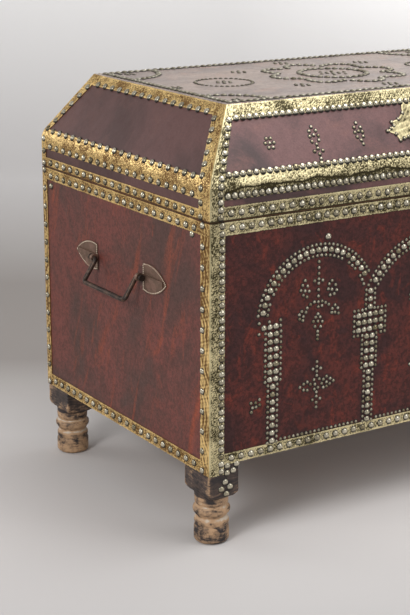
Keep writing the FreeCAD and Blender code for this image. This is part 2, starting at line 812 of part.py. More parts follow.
lug_in = half_hasp + SIZE["hanger_gap"]
lug_out = lug_in + SIZE["hanger_lug_width"]
lug_top = SIZE["hasp_middle"] + SIZE["hasp_pin_radius"] + SIZE["brass"]
hanger_parts = [Part.makeCylinder(SIZE["hasp_pin_radius"], 2 * lug_out, FreeCAD.Vector(-lug_out, 0, 0), X)]
for start in (-lug_out, lug_in):
    lug_corner = FreeCAD.Vector(start, -SIZE["hanger_lug_height"] / 2, -SIZE["hasp_middle"])
    lug = Part.makeBox(SIZE["hanger_lug_width"], SIZE["hanger_lug_height"], lug_top, lug_corner)
    hanger_parts.append(lug)
hanger_shape = hanger_parts[0].multiFuse(hanger_parts[1:]).removeSplitter()
hanger = feature("hasp_hanger", solids_of([hanger_shape]))
hanger.Placement = FreeCAD.Placement(pivot, FreeCAD.Rotation(X, 90 - SIZE["front_turn"]))
keep("hasp_hanger", hanger)

# Lock plate over the rim strip, and the staple that stands in the hasp's slot

lock = new_body("lock_plate")
low = "-lock_plate_height / 2"
high = "lock_plate_height / 2"
wide = "lock_plate_width / 2"
lock_outline = outline(lock, "XZ_Plane", (
    ("-%s + lock_plate_round" % wide, low),
    ("%s - lock_plate_round" % wide, low),
    (wide, low + " + lock_plate_round"),
    (wide, high),
    ("-%s" % wide, high),
    ("-%s" % wide, low + " + lock_plate_round"),
), {1: "lock_plate_round", 5: "lock_plate_round"})
pad(lock, lock_outline, "plate_thickness")
place(lock, ("0", "-outer_half_depth", "staple_centre_height"))
keep("lock_plate", lock)

staple_flat = box(
    "staple_flat",
    ("staple_thickness", "staple_reach - staple_height / 2", "staple_height"),
    (
        "-staple_thickness / 2",
        "-outer_half_depth - plate_thickness - staple_reach + staple_height / 2",
        "staple_centre_height - staple_height / 2",
    ),
)
staple_nose = cylinder(
    "staple_nose", "staple_height / 2", "staple_thickness",
    (
        "-staple_thickness / 2",
        "-outer_half_depth - plate_thickness - staple_reach + staple_height / 2",
        "staple_centre_height",
    ), "x",
)
staple_hole = cylinder(
    "staple_hole", "staple_hole_radius", "staple_thickness + 2 * overrun",
    (
        "-staple_thickness / 2 - overrun",
        "-outer_half_depth - plate_thickness - staple_reach + staple_height / 2",
        "staple_centre_height",
    ), "x",
)
keep("hasp_staple", cut("hasp_staple", fuse("staple_solid", [staple_flat, staple_nose]), staple_hole))

# Hinges on the back: leaves with knuckles that take turns on a pin


def hinge_leaf(name, centre, upper):
    """One leaf; the lower leaf has the two outer knuckles, the upper leaf the middle one."""
    pitch = "knuckle_length"
    reach = "(knuckle_radius + knuckle_gap)"
    sides = (0,) if upper else (-1, 1)
    if upper:
        bottom = "seam_height + " + reach
    else:
        bottom = "seam_height - %s - hinge_leaf_height" % reach
    parts = [box(
        name + "_flat", ("hinge_width", "leaf_thickness", "hinge_leaf_height"),
        ("%s - hinge_width / 2" % centre, "outer_half_depth", bottom),
    )]
    for side in sides:
        middle = "%s + %d * %s" % (centre, side, pitch)
        start = "%s - %s / 2 + knuckle_gap / 2" % (middle, pitch)
        knuckle = cylinder(
            "%s_knuckle_%d" % (name, side + 1), "knuckle_radius", "%s - knuckle_gap" % pitch,
            (start, "hinge_axis_y", "seam_height"), "x",
        )
        web_bottom = "seam_height" if upper else "seam_height - %s" % reach
        web = box(
            "%s_web_%d" % (name, side + 1), ("%s - knuckle_gap" % pitch, "leaf_thickness", reach),
            (start, "outer_half_depth", web_bottom),
        )
        parts += [knuckle, web]
    hole = cylinder(
        name + "_hole", "hinge_pin_radius + pin_clearance", "hinge_width + 2 * overrun",
        ("%s - hinge_width / 2 - overrun" % centre, "hinge_axis_y", "seam_height"), "x",
    )
    return cut(name, fuse(name + "_solid", parts), hole)


HINGE_CENTRES = ("-hinge_spacing", "0", "hinge_spacing")
lower_leaves = [hinge_leaf("lower_leaf_%d" % n, c, False) for n, c in enumerate(HINGE_CENTRES, start=1)]
upper_leaves = [hinge_leaf("upper_leaf_%d" % n, c, True) for n, c in enumerate(HINGE_CENTRES, start=1)]
keep("hinge_leaves_lower", group("hinge_leaves_lower", lower_leaves))
keep("hinge_leaves_upper", group("hinge_leaves_upper", upper_leaves))
pins = [
    cylinder(
        "hinge_pin_%d" % n, "hinge_pin_radius", "hinge_width",
        ("%s - hinge_width / 2" % c, "hinge_axis_y", "seam_height"), "x",
    )
    for n, c in enumerate(HINGE_CENTRES, start=1)
]
keep("hinge_pins", group("hinge_pins", pins))

# Handles: leaf-shaped iron plates, eyes with a strap, and a bail that swings in the eyes


def leaf_plate(name, sign):
    """A leaf between two arcs, cut square where the eye stands; the tip points away from the bail."""
    half = "(leaf_height / 2)"
    arc = "((leaf_tip_reach ^ 2 + %s ^ 2) / leaf_height)" % half
    middle = "%d * (eye_spacing / 2 + leaf_root_reach)" % sign
    wall = "-half_length - leather - plate_thickness"
    arcs = [
        cylinder(
            "%s_arc_%d" % (name, number), arc, "plate_thickness",
            (wall, middle, "handle_height + %d * (%s - %s)" % (number, arc, half)), "x",
        )
        for number in (-1, 1)
    ]
    near = "0" if sign > 0 else "-(leaf_tip_reach + leaf_root_reach)"
    window = box(
        name + "_window",
        ("plate_thickness", "leaf_tip_reach + leaf_root_reach", "leaf_height"),
        (wall, "%d * eye_spacing / 2 + %s" % (sign, near), "handle_height - leaf_height / 2"),
    )
    return common(name, arcs + [window])


def handle_eye(name, sign):
    """A ring for the bail's end with a strap along the plate."""
    wall = "-half_length - leather - plate_thickness"
    ring_start = "%d * eye_spacing / 2 - eye_ring_width / 2" % sign
    ring = cylinder(
        name + "_ring", "eye_ring_radius", "eye_ring_width",
        ("-eye_axis_offset", ring_start, "handle_height"), "y",
    )
    strap_start = "%d * eye_spacing / 2" % sign if sign > 0 else "-eye_spacing / 2 - strap_length"
    flat = box(
        name + "_strap", ("strap_thickness", "strap_length", "strap_height"),
        (wall + " - strap_thickness", strap_start, "handle_height - strap_height / 2"),
    )
    foot_block = box(
        name + "_root", ("eye_ring_radius", "eye_ring_width", "strap_height"),
        (wall + " - eye_ring_radius", ring_start, "handle_height - strap_height / 2"),
    )
    bore = cylinder(
        name + "_hole", "eye_hole_radius", "eye_ring_width + 2 * bail_end_reach",
        ("-eye_axis_offset", "%s - bail_end_reach" % ring_start, "handle_height"), "y",
    )
    sweep = cylinder(
        name + "_clear", "bail_head_radius + brass / 2", "2 * bail_end_reach",
        (
            "-eye_axis_offset",
            "eye_spacing / 2 + eye_ring_width / 2" if sign > 0
            else "-eye_spacing / 2 - eye_ring_width / 2 - 2 * bail_end_reach",
            "handle_height",
        ), "y",
    )
    body = cut(name + "_bored", fuse(name + "_solid", [ring, flat, foot_block]), bore)
    return cut(name, body, sweep)


def rounded_path(points, radii):
    """A wire through points with a tangent arc of the given radius at each inner point."""
    edges = []
    start = points[0]
    for before, corner, after, radius in zip(points, points[1:], points[2:], radii):
        way_in = (before - corner).normalize()
        way_out = (after - corner).normalize()
        half_angle = way_in.getAngle(way_out) / 2
        setback = radius / math.tan(half_angle)
        arc_start = corner + way_in * setback
        arc_end = corner + way_out * setback
        bisector = (way_in + way_out).normalize()
        centre = corner + bisector * (radius / math.sin(half_angle))
        crest = centre - bisector * radius
        edges += [Part.makeLine(start, arc_start), Part.Arc(arc_start, crest, arc_end).toShape()]
        start = arc_end
    edges.append(Part.makeLine(start, points[-1]))
    return Part.Wire(edges)


def bail_shape():
    """The left bail: a rod bent to a flat U, its ends turned out through the eyes and upset."""
    inner = SIZE["eye_spacing"] / 2 - SIZE["eye_ring_width"] / 2 - SIZE["hanger_gap"] - SIZE["bail_rod_radius"]
    outer = SIZE["eye_spacing"] / 2 + SIZE["bail_end_reach"]
    half_bar = SIZE["bail_bar_length"] / 2
    angle = math.radians(SIZE["bail_rest_angle"])
    axis_spot = FreeCAD.Vector(-SIZE["eye_axis_offset"], 0, SIZE["handle_height"])
    down = FreeCAD.Vector(-math.sin(angle), 0, -math.cos(angle)) * SIZE["bail_leg_length"]
    points = [
        axis_spot + Y * outer, axis_spot + Y * inner, axis_spot + Y * half_bar + down,
        axis_spot - Y * half_bar + down, axis_spot - Y * inner, axis_spot - Y * outer,
    ]
    tight = SIZE["bail_rod_radius"] * 1.3
    wire = rounded_path(points, (tight, SIZE["bail_bend_radius"], SIZE["bail_bend_radius"], tight))
    circle = Part.Wire(Part.makeCircle(SIZE["bail_rod_radius"], points[0], Y))
    rod = wire.makePipeShell([circle], True, False)
    heads = [
        Part.makeCylinder(SIZE["bail_head_radius"], SIZE["bail_head_thickness"], points[0], Y),
        Part.makeCylinder(SIZE["bail_head_radius"], SIZE["bail_head_thickness"], points[-1], -Y),
    ]
    return rod.multiFuse(heads).removeSplitter()


left_plates = group("handle_plates_left", [leaf_plate("leaf_left_front", -1), leaf_plate("leaf_left_back", 1)])
left_eyes = group("handle_eyes_left", [handle_eye("eye_left_front", -1), handle_eye("eye_left_back", 1)])
left_bail = feature("bail_left", solids_of([bail_shape()]))
keep("handle_plates_left", left_plates)
keep("handle_eyes_left", left_eyes)
keep("bail_left", left_bail)
keep("handle_plates_right", mirrored_in_x("handle_plates_right", left_plates))
keep("handle_eyes_right", mirrored_in_x("handle_eyes_right", left_eyes))
keep("bail_right", mirrored_in_x("bail_right", left_bail))
doc.recompute()

# Dome nails: each is turned about its axis, copied to its place and faced outwards


def nail_form(kind):
    """A dome over a flat underside with a pointed shank, standing on the plane at zero."""
    radius = SIZE[kind + "_nail_radius"]
    rise = SIZE[kind + "_nail_rise"]
    shank = SIZE[kind + "_shank_radius"]
    ball = (radius ** 2 + rise ** 2) / (2 * rise)
    half_angle = math.asin(radius / ball) / 2
    crest = FreeCAD.Vector(ball * math.sin(half_angle), 0, rise - ball + ball * math.cos(half_angle))
    top = FreeCAD.Vector(0, 0, rise)
    rim = FreeCAD.Vector(radius, 0, 0)
    neck = FreeCAD.Vector(shank, 0, 0)
    point = FreeCAD.Vector(0, 0, -SIZE[kind + "_shank_length"])
    edges = [
        Part.Arc(top, crest, rim).toShape(),
        Part.makeLine(rim, neck),
        Part.makeLine(neck, point),
        Part.makeLine(point, top),
    ]
    return Part.Face(Part.Wire(edges)).revolve(FreeCAD.Vector(), Z, 360)


class NailBoard:
    """Places nails, and leaves out one that would touch a nail or a fitting that is there already."""

    def __init__(self):
        self.rows = {}
        self.cells = {}
        self.reach = 2 * SIZE["large_nail_radius"] + SIZE["nail_gap"]
        self.fittings = []

    def keep_clear(self, centre, half_sizes):
        self.fittings.append((centre, half_sizes))

    def blocked(self, spot, radius):
        for centre, half_sizes in self.fittings:
            away = spot - centre
            if all(abs(a) < h + radius for a, h in zip(away, half_sizes)):
                return True
        return False

    def add(self, node, kind, spot, normal):
        radius = SIZE[kind + "_nail_radius"]
        if self.blocked(spot, radius):
            return
        cell = tuple(int(math.floor(value / self.reach)) for value in spot)
        for shift in NEIGHBOURS:
            near = tuple(a + b for a, b in zip(cell, shift))
            for other, other_radius in self.cells.get(near, ()):
                if (spot - other).Length < radius + other_radius + SIZE["nail_gap"]:
                    return
        self.cells.setdefault(cell, []).append((spot, radius))
        self.rows.setdefault(node, []).append((kind, spot, normal))


NEIGHBOURS = [(a, b, c) for a in (-1, 0, 1) for b in (-1, 0, 1) for c in (-1, 0, 1)]
nails = NailBoard()


def wall_spot(side, sign, along, height, depth):
    """A point on an upright face and the way out of it; along runs left to right as seen from there."""
    reach = sign * (outer_half(side) - depth)
    if side == "front":
        return FreeCAD.Vector(along, reach, height), Y * sign
    return FreeCAD.Vector(reach, along, height), X * sign


def lid_spot(side, sign, along, height, depth):
    """A point on the lid's side at a height and the way out of it, upright, on the knee or on the slope."""
    start, crest, end = knee_points(side, depth)
    turn = turn_of(side)
    if height <= start[1]:
        lean = 0
    elif height >= end[1]:
        lean = turn
    else:
        lean = math.asin((height - start[1]) / (SIZE["knee_radius"] - depth))
    reach = sign * lid_half(side, depth, height)
    out = math.cos(lean) * sign
    if side == "front":
        return FreeCAD.Vector(along, reach, height), FreeCAD.Vector(0, out, math.sin(lean))
    return FreeCAD.Vector(reach, along, height), FreeCAD.Vector(out, 0, math.sin(lean))


def evenly(start, end, pitch):
    """Numbers from start to end, both kept, about a pitch apart."""
    count = max(int(round(abs(end - start) / pitch)), 1)
    return [start + (end - start) * step / count for step in range(count + 1)]


on_strip = 0
on_leather = SIZE["brass"]
radius = SIZE["large_nail_radius"]
pitch = SIZE["small_pitch"]
beside = radius + SIZE["small_nail_radius"] + SIZE["nail_gap"]

# Fittings that the nail rows leave room for

half_plate = SIZE["lock_plate_height"] / 2
lock_centre = FreeCAD.Vector(0, -outer_half("front"), SIZE["staple_centre_height"])
lock_room = (SIZE["lock_plate_width"] / 2, SIZE["overrun"], half_plate)
nails.keep_clear(lock_centre, lock_room)
for shift in (-1, 0, 1):
    hinge_centre = FreeCAD.Vector(shift * SIZE["hinge_spacing"], outer_half("front"), SIZE["seam_height"])
    leaf_reach = SIZE["hinge_leaf_height"] + SIZE["knuckle_radius"] + SIZE["knuckle_gap"]
    nails.keep_clear(hinge_centre, (SIZE["hinge_width"] / 2, SIZE["hinge_width"], leaf_reach))

# Nails of the front: upright edges, base and rim


def front_nail(node, kind, x, height, depth):
    spot, normal = wall_spot("front", -1, x, height, depth)
    nails.add(node, kind, spot, normal)


corner_x = outer_half("end") - SIZE["corner_nail_inset"]
strip_low = SIZE["end_bottom"] + radius
strip_high = SIZE["seam_height"] - SIZE["seam_gap"] - radius
for sign in (-1, 1):
    for height in evenly(strip_low, strip_high, SIZE["dense_pitch"]):
        front_nail("front_large_nails", "large", sign * corner_x, height, on_strip)
run_x = corner_x - SIZE["rim_pitch"]
rim_height = SIZE["rim_strip_bottom"] + SIZE["rim_strip_height"] / 2
for x in evenly(-run_x, run_x, SIZE["rim_pitch"]):
    front_nail("front_large_nails", "large", x, rim_height, on_strip)
base_height = SIZE["front_bottom"] + SIZE["front_base_strip_height"] / 2
run_x = corner_x - SIZE["base_pitch"]
for x in evenly(-run_x, run_x, SIZE["base_pitch"]):
    front_nail("front_large_nails", "large", x, base_height, on_strip)

# Nails on the feet's blocks: a cluster under the base strip and a diamond

CLUSTER_SHARES = ((0.28, -0.51), (1.81, -0.52), (1.25, -1.56), (0.25, -1.8))
DIAMOND_SHARES = ((0.22, 0.81), (1, 0), (-0.38, -0.15), (0.43, -0.95))
foot_pitch = SIZE["foot_nail_pitch"]
for sign in (-1, 1):
    for along, up in CLUSTER_SHARES:
        x = sign * (outer_half("end") - SIZE["corner_front_leg"] - (along + 0.3) * foot_pitch)
        front_nail("front_large_nails", "large", x, SIZE["front_bottom"] + (up + 0.2) * foot_pitch * 0.8, on_leather)
    for along, up in DIAMOND_SHARES:
        x = sign * (outer_half("end") - SIZE["foot_width"] / 2 - along * foot_pitch)
        height = SIZE["foot_diamond_height"] + up * foot_pitch
        front_nail("front_large_nails", "large", x, height, on_leather)

# Nails of the arcade: columns, capitals and three arches


def column_rows(x, heights, half_count, border):
    """Rows of one or two large nails with a line of small ones down each side."""
    dense = 2 * radius + SIZE["nail_gap"] * 2
    offsets = (0,) if half_count == 0 else (-dense / 2, dense / 2)
    for height in heights:
        for offset in offsets:
            front_nail("front_large_nails", "large", x + offset, height, on_leather)
    edge = offsets[-1] + beside
    if border:
        low, high = min(heights) - radius / 2, max(heights) + radius / 2
        for height in evenly(low, high, pitch):
            for sign in (-1, 1):
                front_nail("front_small_nails", "small", x + sign * edge, height, on_leather)


dense = SIZE["dense_pitch"]
column_low = SIZE["front_bottom"] + SIZE["front_base_strip_height"] + radius * 0.6
for sign in (-1, 1):
    x = sign * SIZE["inner_column_x"]
    capital = SIZE["capital_height"]
    double_low = capital - dense * 5
    columns = 5
    spacing = 2 * radius + 2 * SIZE["nail_gap"]
    for row in range(3):
        for column in range(columns):
            shift = (column - (columns - 1) / 2) * spacing
            front_nail("front_large_nails", "large", x + shift, capital + row * dense, on_leather)
    edge_x = (columns - 1) / 2 * spacing + beside
    top = capital + 2 * dense + beside
    bottom = capital - beside
    for height in evenly(bottom, top, pitch):
        front_nail("front_small_nails", "small", x - edge_x, height, on_leather)
        front_nail("front_small_nails", "small", x + edge_x, height, on_leather)
    column_rows(x, [capital - dense * step for step in range(1, 6)], 1, True)
    lower = evenly(column_low, double_low - dense, dense)
    column_rows(x, lower, 0, True)
    meeting = SIZE["middle_arch_height"] + math.sqrt(SIZE["middle_arch_radius"] ** 2 - SIZE["inner_column_x"] ** 2)
    column_rows(x, evenly(capital + dense * 3, meeting, 2 * radius + SIZE["nail_gap"]), 0, True)
    for shift in evenly(-edge_x, edge_x, pitch):
        front_nail("front_small_nails", "small", x + shift, top, on_leather)
        front_nail("front_small_nails", "small", x + shift, bottom, on_leather)

    x = sign * SIZE["outer_column_x"]
    capital = SIZE["outer_capital_height"]
    foot_x = sign * (SIZE["outer_arch_x"] + SIZE["outer_arch_radius"])
    for step in range(3):
        front_nail("front_large_nails", "large", foot_x - sign * (0.3 + step) * spacing, capital, on_leather)
    column_rows(x, [capital - dense * step for step in range(1, 8)], 1, True)
    column_rows(x, evenly(column_low, capital - dense * 8, dense), 0, True)
    for height in evenly(capital - beside, capital + beside, pitch):
        front_nail("front_small_nails", "small", foot_x + sign * (beside - 0.3 * spacing), height, on_leather)
        front_nail("front_small_nails", "small", foot_x - sign * (beside + 2.3 * spacing), height, on_leather)
    for step in evenly(0, 2.3 * spacing, pitch):
        front_nail("front_small_nails", "small", foot_x - sign * step, capital - beside, on_leather)
    for step in evenly(1.2 * spacing, 2.3 * spacing, pitch):
        front_nail("front_small_nails", "small", foot_x - sign * step, capital + beside, on_leather)


def arch(x, height, radius_of_arch, start, end):
    """An arc of large nails with a line of small ones inside and outside."""
    for reach, kind, gap in (
        (radius_of_arch, "large", dense),
        (radius_of_arch - beside, "small", pitch),
        (radius_of_arch + beside, "small", pitch),
    ):
        node = "front_large_nails" if kind == "large" else "front_small_nails"
        for angle in evenly(start, end, gap / reach):
            front_nail(node, kind, x + reach * math.cos(angle), height + reach * math.sin(angle), on_leather)


meet_angle = math.acos((SIZE["inner_column_x"] - dense / 4) / SIZE["middle_arch_radius"])
side_meet = math.acos((SIZE["outer_arch_x"] - SIZE["inner_column_x"] - dense / 4) / SIZE["outer_arch_radius"])
arch_start = SIZE["outer_capital_height"] + dense - SIZE["outer_arch_height"]
foot_angle = math.asin(arch_start / SIZE["outer_arch_radius"])
arch(0, SIZE["middle_arch_height"], SIZE["middle_arch_radius"], meet_angle, math.pi - meet_angle)
side_height, side_radius = SIZE["outer_arch_height"], SIZE["outer_arch_radius"]
arch(-SIZE["outer_arch_x"], side_height, side_radius, math.pi - foot_angle, side_meet)
arch(SIZE["outer_arch_x"], side_height, side_radius, foot_angle, math.pi - side_meet)
for sign in (-1, 1):
    front_nail("front_large_nails", "large", sign * SIZE["stray_nail_x"], SIZE["stray_nail_height"], on_leather)

# Small nails along the top of the base strip, between the columns

edge_height = SIZE["front_bottom"] + SIZE["front_base_strip_height"] + SIZE["small_nail_radius"]
for x in evenly(-SIZE["outer_column_x"], SIZE["outer_column_x"], pitch):
    front_nail("front_small_nails", "small", x, edge_height, on_leather)

# Flower motifs under the arches, in shares of the motif's own pitch

FLOWER_SHARES = (
    (0, 9.2), (0, 8.2), (0, 7.0), (0, 5.8), (0, 4.7), (0, 3.8), (0, 2.5), (0, 1.2),
    (-1.0, 4.4), (1.0, 4.3), (-0.95, 0.1), (0, 0), (0.95, 0), (0, -1.0), (0.9, -0.9),
    (-1.9, -0.3), (-2.7, -0.9), (1.8, -0.4), (2.6, -0.9),
    (-3.3, 4.8), (-3.9, 3.9), (-2.7, 3.6), (-4.3, 2.9), (-3.3, 2.7), (-2.3, 2.5), (-3.7, 1.9), (-2.8, 1.4),
    (3.3, 3.9), (2.6, 3.3), (4.2, 2.9), (2.4, 2.3), (3.3, 2.1), (4.5, 1.8), (2.9, 1.0), (3.9, 1.1),
    (-4.0, -1.4), (-3.0, -1.7), (-4.6, -2.0), (-3.6, -2.5), (-2.7, -2.4), (-4.5, -2.9), (-5.1, -3.1), (-3.7, -3.3),
    (4.2, -1.3), (4.9, -2.0), (3.5, -1.9), (3.4, -2.7), (4.2, -2.8), (5.1, -3.1), (4.5, -3.6),
    (0, -2.5), (-0.55, -3.1), (0.55, -3.2), (-1.1, -3.9), (0, -4.0), (1.1, -4.2), (-0.7, -5.0), (0, -5.2),
    (0.7, -5.2), (0, -6.1), (0, -6.9), (0, -7.7),
)
CROSS_SHARES = (
    (0, 4.7), (0, 3.7), (-0.95, 3.3), (0.95, 3.2), (0, 2.7), (0, 1.8),
    (-0.65, 1.0), (0.65, 1.0), (2.5, 1.2), (1.7, 0.7), (3.4, 0.6), (4.2, 0), (2.5, 0), (1.3, -0.1), (2.5, -0.9),
    (-2.3, 0.8), (-1.5, 0.2), (-3.2, 0.5), (-4.1, 0), (-2.3, -0.9), (-3.2, -0.7), (-0.4, 0), (0.4, -0.8),
    (-0.5, -1.0), (0, -1.7), (0, -2.6), (-0.95, -3.2), (0.95, -3.2), (0, -3.9), (0, -4.9), (3.3, -0.5), (1.7, -1.0),
)
motif_pitch = SIZE["motif_pitch"]
for x in (-SIZE["outer_arch_x"], 0, SIZE["outer_arch_x"]):
    for along, up in FLOWER_SHARES:
        height = SIZE["motif_upper_height"] + up * motif_pitch
        front_nail("front_small_nails", "small", x + along * motif_pitch, height, on_leather)
    for along, up in CROSS_SHARES:
        height = SIZE["motif_lower_height"] + up * motif_pitch
        front_nail("front_small_nails", "small", x + along * motif_pitch, height, on_leather)

SPRAY_SHARES = ((1.3, 1.3), (0.4, 0.8), (1.35, 0.2), (-0.7, 0.9), (-0.35, -0.1), (0.5, -0.1), (-0.6, -1.0))
spray_x = SIZE["outer_column_x"] + radius + beside + 2.6 * motif_pitch
for sign in (-1, 1):
    for along, up in SPRAY_SHARES:
        height = SIZE["spray_height"] + up * motif_pitch
        front_nail("front_small_nails", "small", sign * (spray_x - along * motif_pitch), height, on_leather)

# Nails of the body's ends and back


def wall_row(node, side, sign, start, end, height, gap):
    for along in evenly(start, end, gap):
        spot, normal = wall_spot(side, sign, along, height, on_strip)
        nails.add(node, "large", spot, normal)


def wall_column(node, side, sign, along, low, high, gap):
    for height in evenly(low, high, gap):
        spot, normal = wall_spot(side, sign, along, height, on_strip)
        nails.add(node, "large", spot, normal)


END_STRAY_SHARES = ((0.885, 0.92), (-0.815, 0.937))
END_ROW_SHARE = 0.38
for node, side, sign in (
    ("left_nails", "end", -1), ("right_nails", "end", 1), ("back_nails", "front", 1),
):
    other = outer_half("front") if side == "end" else outer_half("end")
    front_edge = SIZE["end_corner_nail_inset"] - other
    back_edge = other - SIZE["back_corner_nail_inset"]
    strip = SIZE["end_base_strip_height"]
    bottom = SIZE["end_bottom"]
    row_share = END_ROW_SHARE
    if side == "front":
        back_edge = other - SIZE["corner_nail_inset"]
        front_edge = -back_edge
        strip = SIZE["front_base_strip_height"]
        bottom = SIZE["front_bottom"]
        row_share = 1 / 2
    for edge in (front_edge, back_edge):
        wall_column(node, side, sign, edge, strip_low, strip_high, SIZE["open_pitch"])
    start, end = front_edge + SIZE["sparse_pitch"], back_edge - SIZE["sparse_pitch"]
    rim_row = SIZE["rim_strip_bottom"] + row_share * SIZE["rim_strip_height"]
    wall_row(node, side, sign, start, end, rim_row, SIZE["sparse_pitch"])
    wall_row(node, side, sign, start, end, bottom + strip / 2, SIZE["sparse_pitch"])
    if side == "end":
        for along_share, height_share in END_STRAY_SHARES:
            height = SIZE["end_bottom"] + height_share * (SIZE["seam_height"] - SIZE["end_bottom"])
            spot, normal = wall_spot(side, sign, along_share * other, height, on_leather)
            nails.add(node, "large", spot, normal)

# Nails of the lid: edge, knee, hips and top strips


def hip_inset(side, end, height):
    """How far from the hip its row of nails runs, near the edge of the strip."""
    return hip_leg(side, end, height) - radius


def lid_row(node, side, sign, height, gap, clear):
    """A level row between the rows beside the two hips, a clear way from each."""
    half = lid_half("end" if side == "front" else "front", on_strip, height) - clear
    start = hip_inset(side, -1, height) - half
    end = half - hip_inset(side, 1, height)
    for along in evenly(start, end, gap):
        spot, normal = lid_spot(side, sign, along, height, on_strip)
        nails.add(node, "large", spot, normal)


def hip_rows(node, side, sign, gap):
    """A row up each hip: upright on the edge, over the knee and up the slope."""
    low = skin_bottom + radius
    knee = SIZE["knee_height"]
    high = lid_top - SIZE["top_strip_drop"]
    rise = gap * math.cos(turn_of(side))
    for height in evenly(low, knee - gap / 2, gap) + evenly(knee + rise / 2, high, rise):
        half = lid_half("end" if side == "front" else "front", on_strip, height)
        for end in (-1, 1):
            along = end * (half - hip_inset(side, end, height))
            spot, normal = lid_spot(side, sign, along, height, on_strip)
            nails.add(node, "large", spot, normal)


row_drop = radius * 0.4
front_rows = (
    (SIZE["knee_strip_bottom"] + radius, SIZE["dense_pitch"]),
    (SIZE["knee_strip_top"] - row_drop, SIZE["dense_pitch"]),
    (SIZE["top_strip_bottom"] + row_drop, SIZE["dense_pitch"]),
    (skin_bottom + SIZE["lid_edge_strip_height"] / 2, SIZE["base_pitch"]),
)
end_rows = (
    (SIZE["knee_strip_bottom"] + radius, SIZE["sparse_pitch"]),
    (SIZE["end_knee_strip_top"] - row_drop, SIZE["sparse_pitch"]),
    (SIZE["end_top_strip_bottom"] + row_drop, SIZE["sparse_pitch"]),
    (skin_bottom + SIZE["end_edge_strip_height"] / 2, SIZE["sparse_pitch"]),
)
back_rows = tuple((height, SIZE["sparse_pitch"]) for height, gap in front_rows)
for node, side, sign, rows, hip_gap in (
    ("lid_front_large_nails", "front", -1, front_rows, SIZE["dense_pitch"]),
    ("lid_side_nails", "end", -1, end_rows, SIZE["hip_pitch"]),
    ("lid_side_nails", "end", 1, end_rows, SIZE["hip_pitch"]),
    ("lid_side_nails", "front", 1, back_rows, SIZE["hip_pitch"]),
):
    hip_rows(node, side, sign, hip_gap)
    for height, gap in rows:
        lid_row(node, side, sign, height, gap, gap)

# Small nails on the front slope: rosette, flower, diamond and the star plate's edge


def slope_nail(x, height):
    spot, normal = lid_spot("front", -1, x, height, on_leather)
    nails.add("lid_small_nails", "small", spot, normal)


SLOPE_MOTIF_SHARE = 0.437
ROSETTE_SHARES = [(0, 0)] + [(math.cos(math.radians(a)), math.sin(math.radians(a))) for a in range(0, 360, 60)]
SLOPE_FLOWER_SHARES = (
    (0, 2.2), (-0.8, 1.4), (0.8, 1.4), (-1.05, 0.4), (1.05, 0.4), (0, 0.6), (-0.85, -0.6), (0.85, -0.5), (0, -1.2),
    (0, -2.0), (-1.0, -2.5), (1.0, -2.5), (0, -3.1), (0, -4.0),
)
SLOPE_DIAMOND_SHARES = (
    (0, 2.0), (-0.75, 1.2), (0.75, 1.1), (-0.95, 0.2), (0.9, 0.2), (0, 0.4), (-0.7, -0.7), (0.75, -0.7),
    (0, -1.4), (0.2, -2.2),
)
for sign in (-1, 1):
    for x, shares in (
        (SIZE["slope_rosette_x"], ROSETTE_SHARES),
        (SIZE["slope_flower_x"], SLOPE_FLOWER_SHARES),
        (SIZE["slope_diamond_x"], SLOPE_DIAMOND_SHARES),
    ):
        for along, up in shares:
            height = SIZE["knee_height"] + SLOPE_MOTIF_SHARE * SIZE["lid_rise"] + up * motif_pitch * 0.92
            slope_nail(sign * (x - along * motif_pitch), height)

slope_lean = math.cos(turn_of("front"))
star_base = SIZE["knee_strip_top"] + SIZE["star_gap"]
edge_points = [
    (x * SIZE["star_half_width"], star_base + y * SIZE["star_height"] * slope_lean)
    for x, y in STAR_SHARES
]
for (x, height), (next_x, next_height) in zip(edge_points, edge_points[1:]):
    span = math.hypot(next_x - x, (next_height - height) / slope_lean)
    steps = max(int(span / pitch), 1)
    for step in range(steps + 1):
        share = step / steps
        spot_x = x + (next_x - x) * share
        spot_height = height + (next_height - height) * share
        for sign in (-1, 1):
            spot, normal = lid_spot("front", -1, sign * spot_x, spot_height, on_strip)
            nails.add("lid_small_nails", "small", spot, normal)

# Nails on the lid's top: border, corner quarters and medallion of large ones, rings and clusters of small ones


def top_nail(x, y, kind="small"):
    node = "lid_top_large_nails" if kind == "large" else "lid_small_nails"
    nails.add(node, kind, FreeCAD.Vector(x, y, lid_top), Z)


border_x = lid_half("end", 0, lid_top) - SIZE["top_border_inset"]
border_y = lid_half("front", 0, lid_top) - SIZE["top_border_inset"]
top_pitch = SIZE["top_border_pitch"]
for x in evenly(-border_x, border_x, top_pitch):
    top_nail(x, -border_y, "large")
    top_nail(x, border_y, "large")
for y in evenly(-border_y, border_y, top_pitch):
    top_nail(-border_x, y, "large")
    top_nail(border_x, y, "large")


def top_ring(x, y, reach, gap, kind="small"):
    count = int(round(2 * math.pi * reach / gap))
    for step in range(count):
        angle = 2 * math.pi * step / count
        top_nail(x + reach * math.cos(angle), y + reach * math.sin(angle), kind)


def top_motif(x, y, shares, step):
    for along, up in shares:
        top_nail(x + along * step, y + up * step)


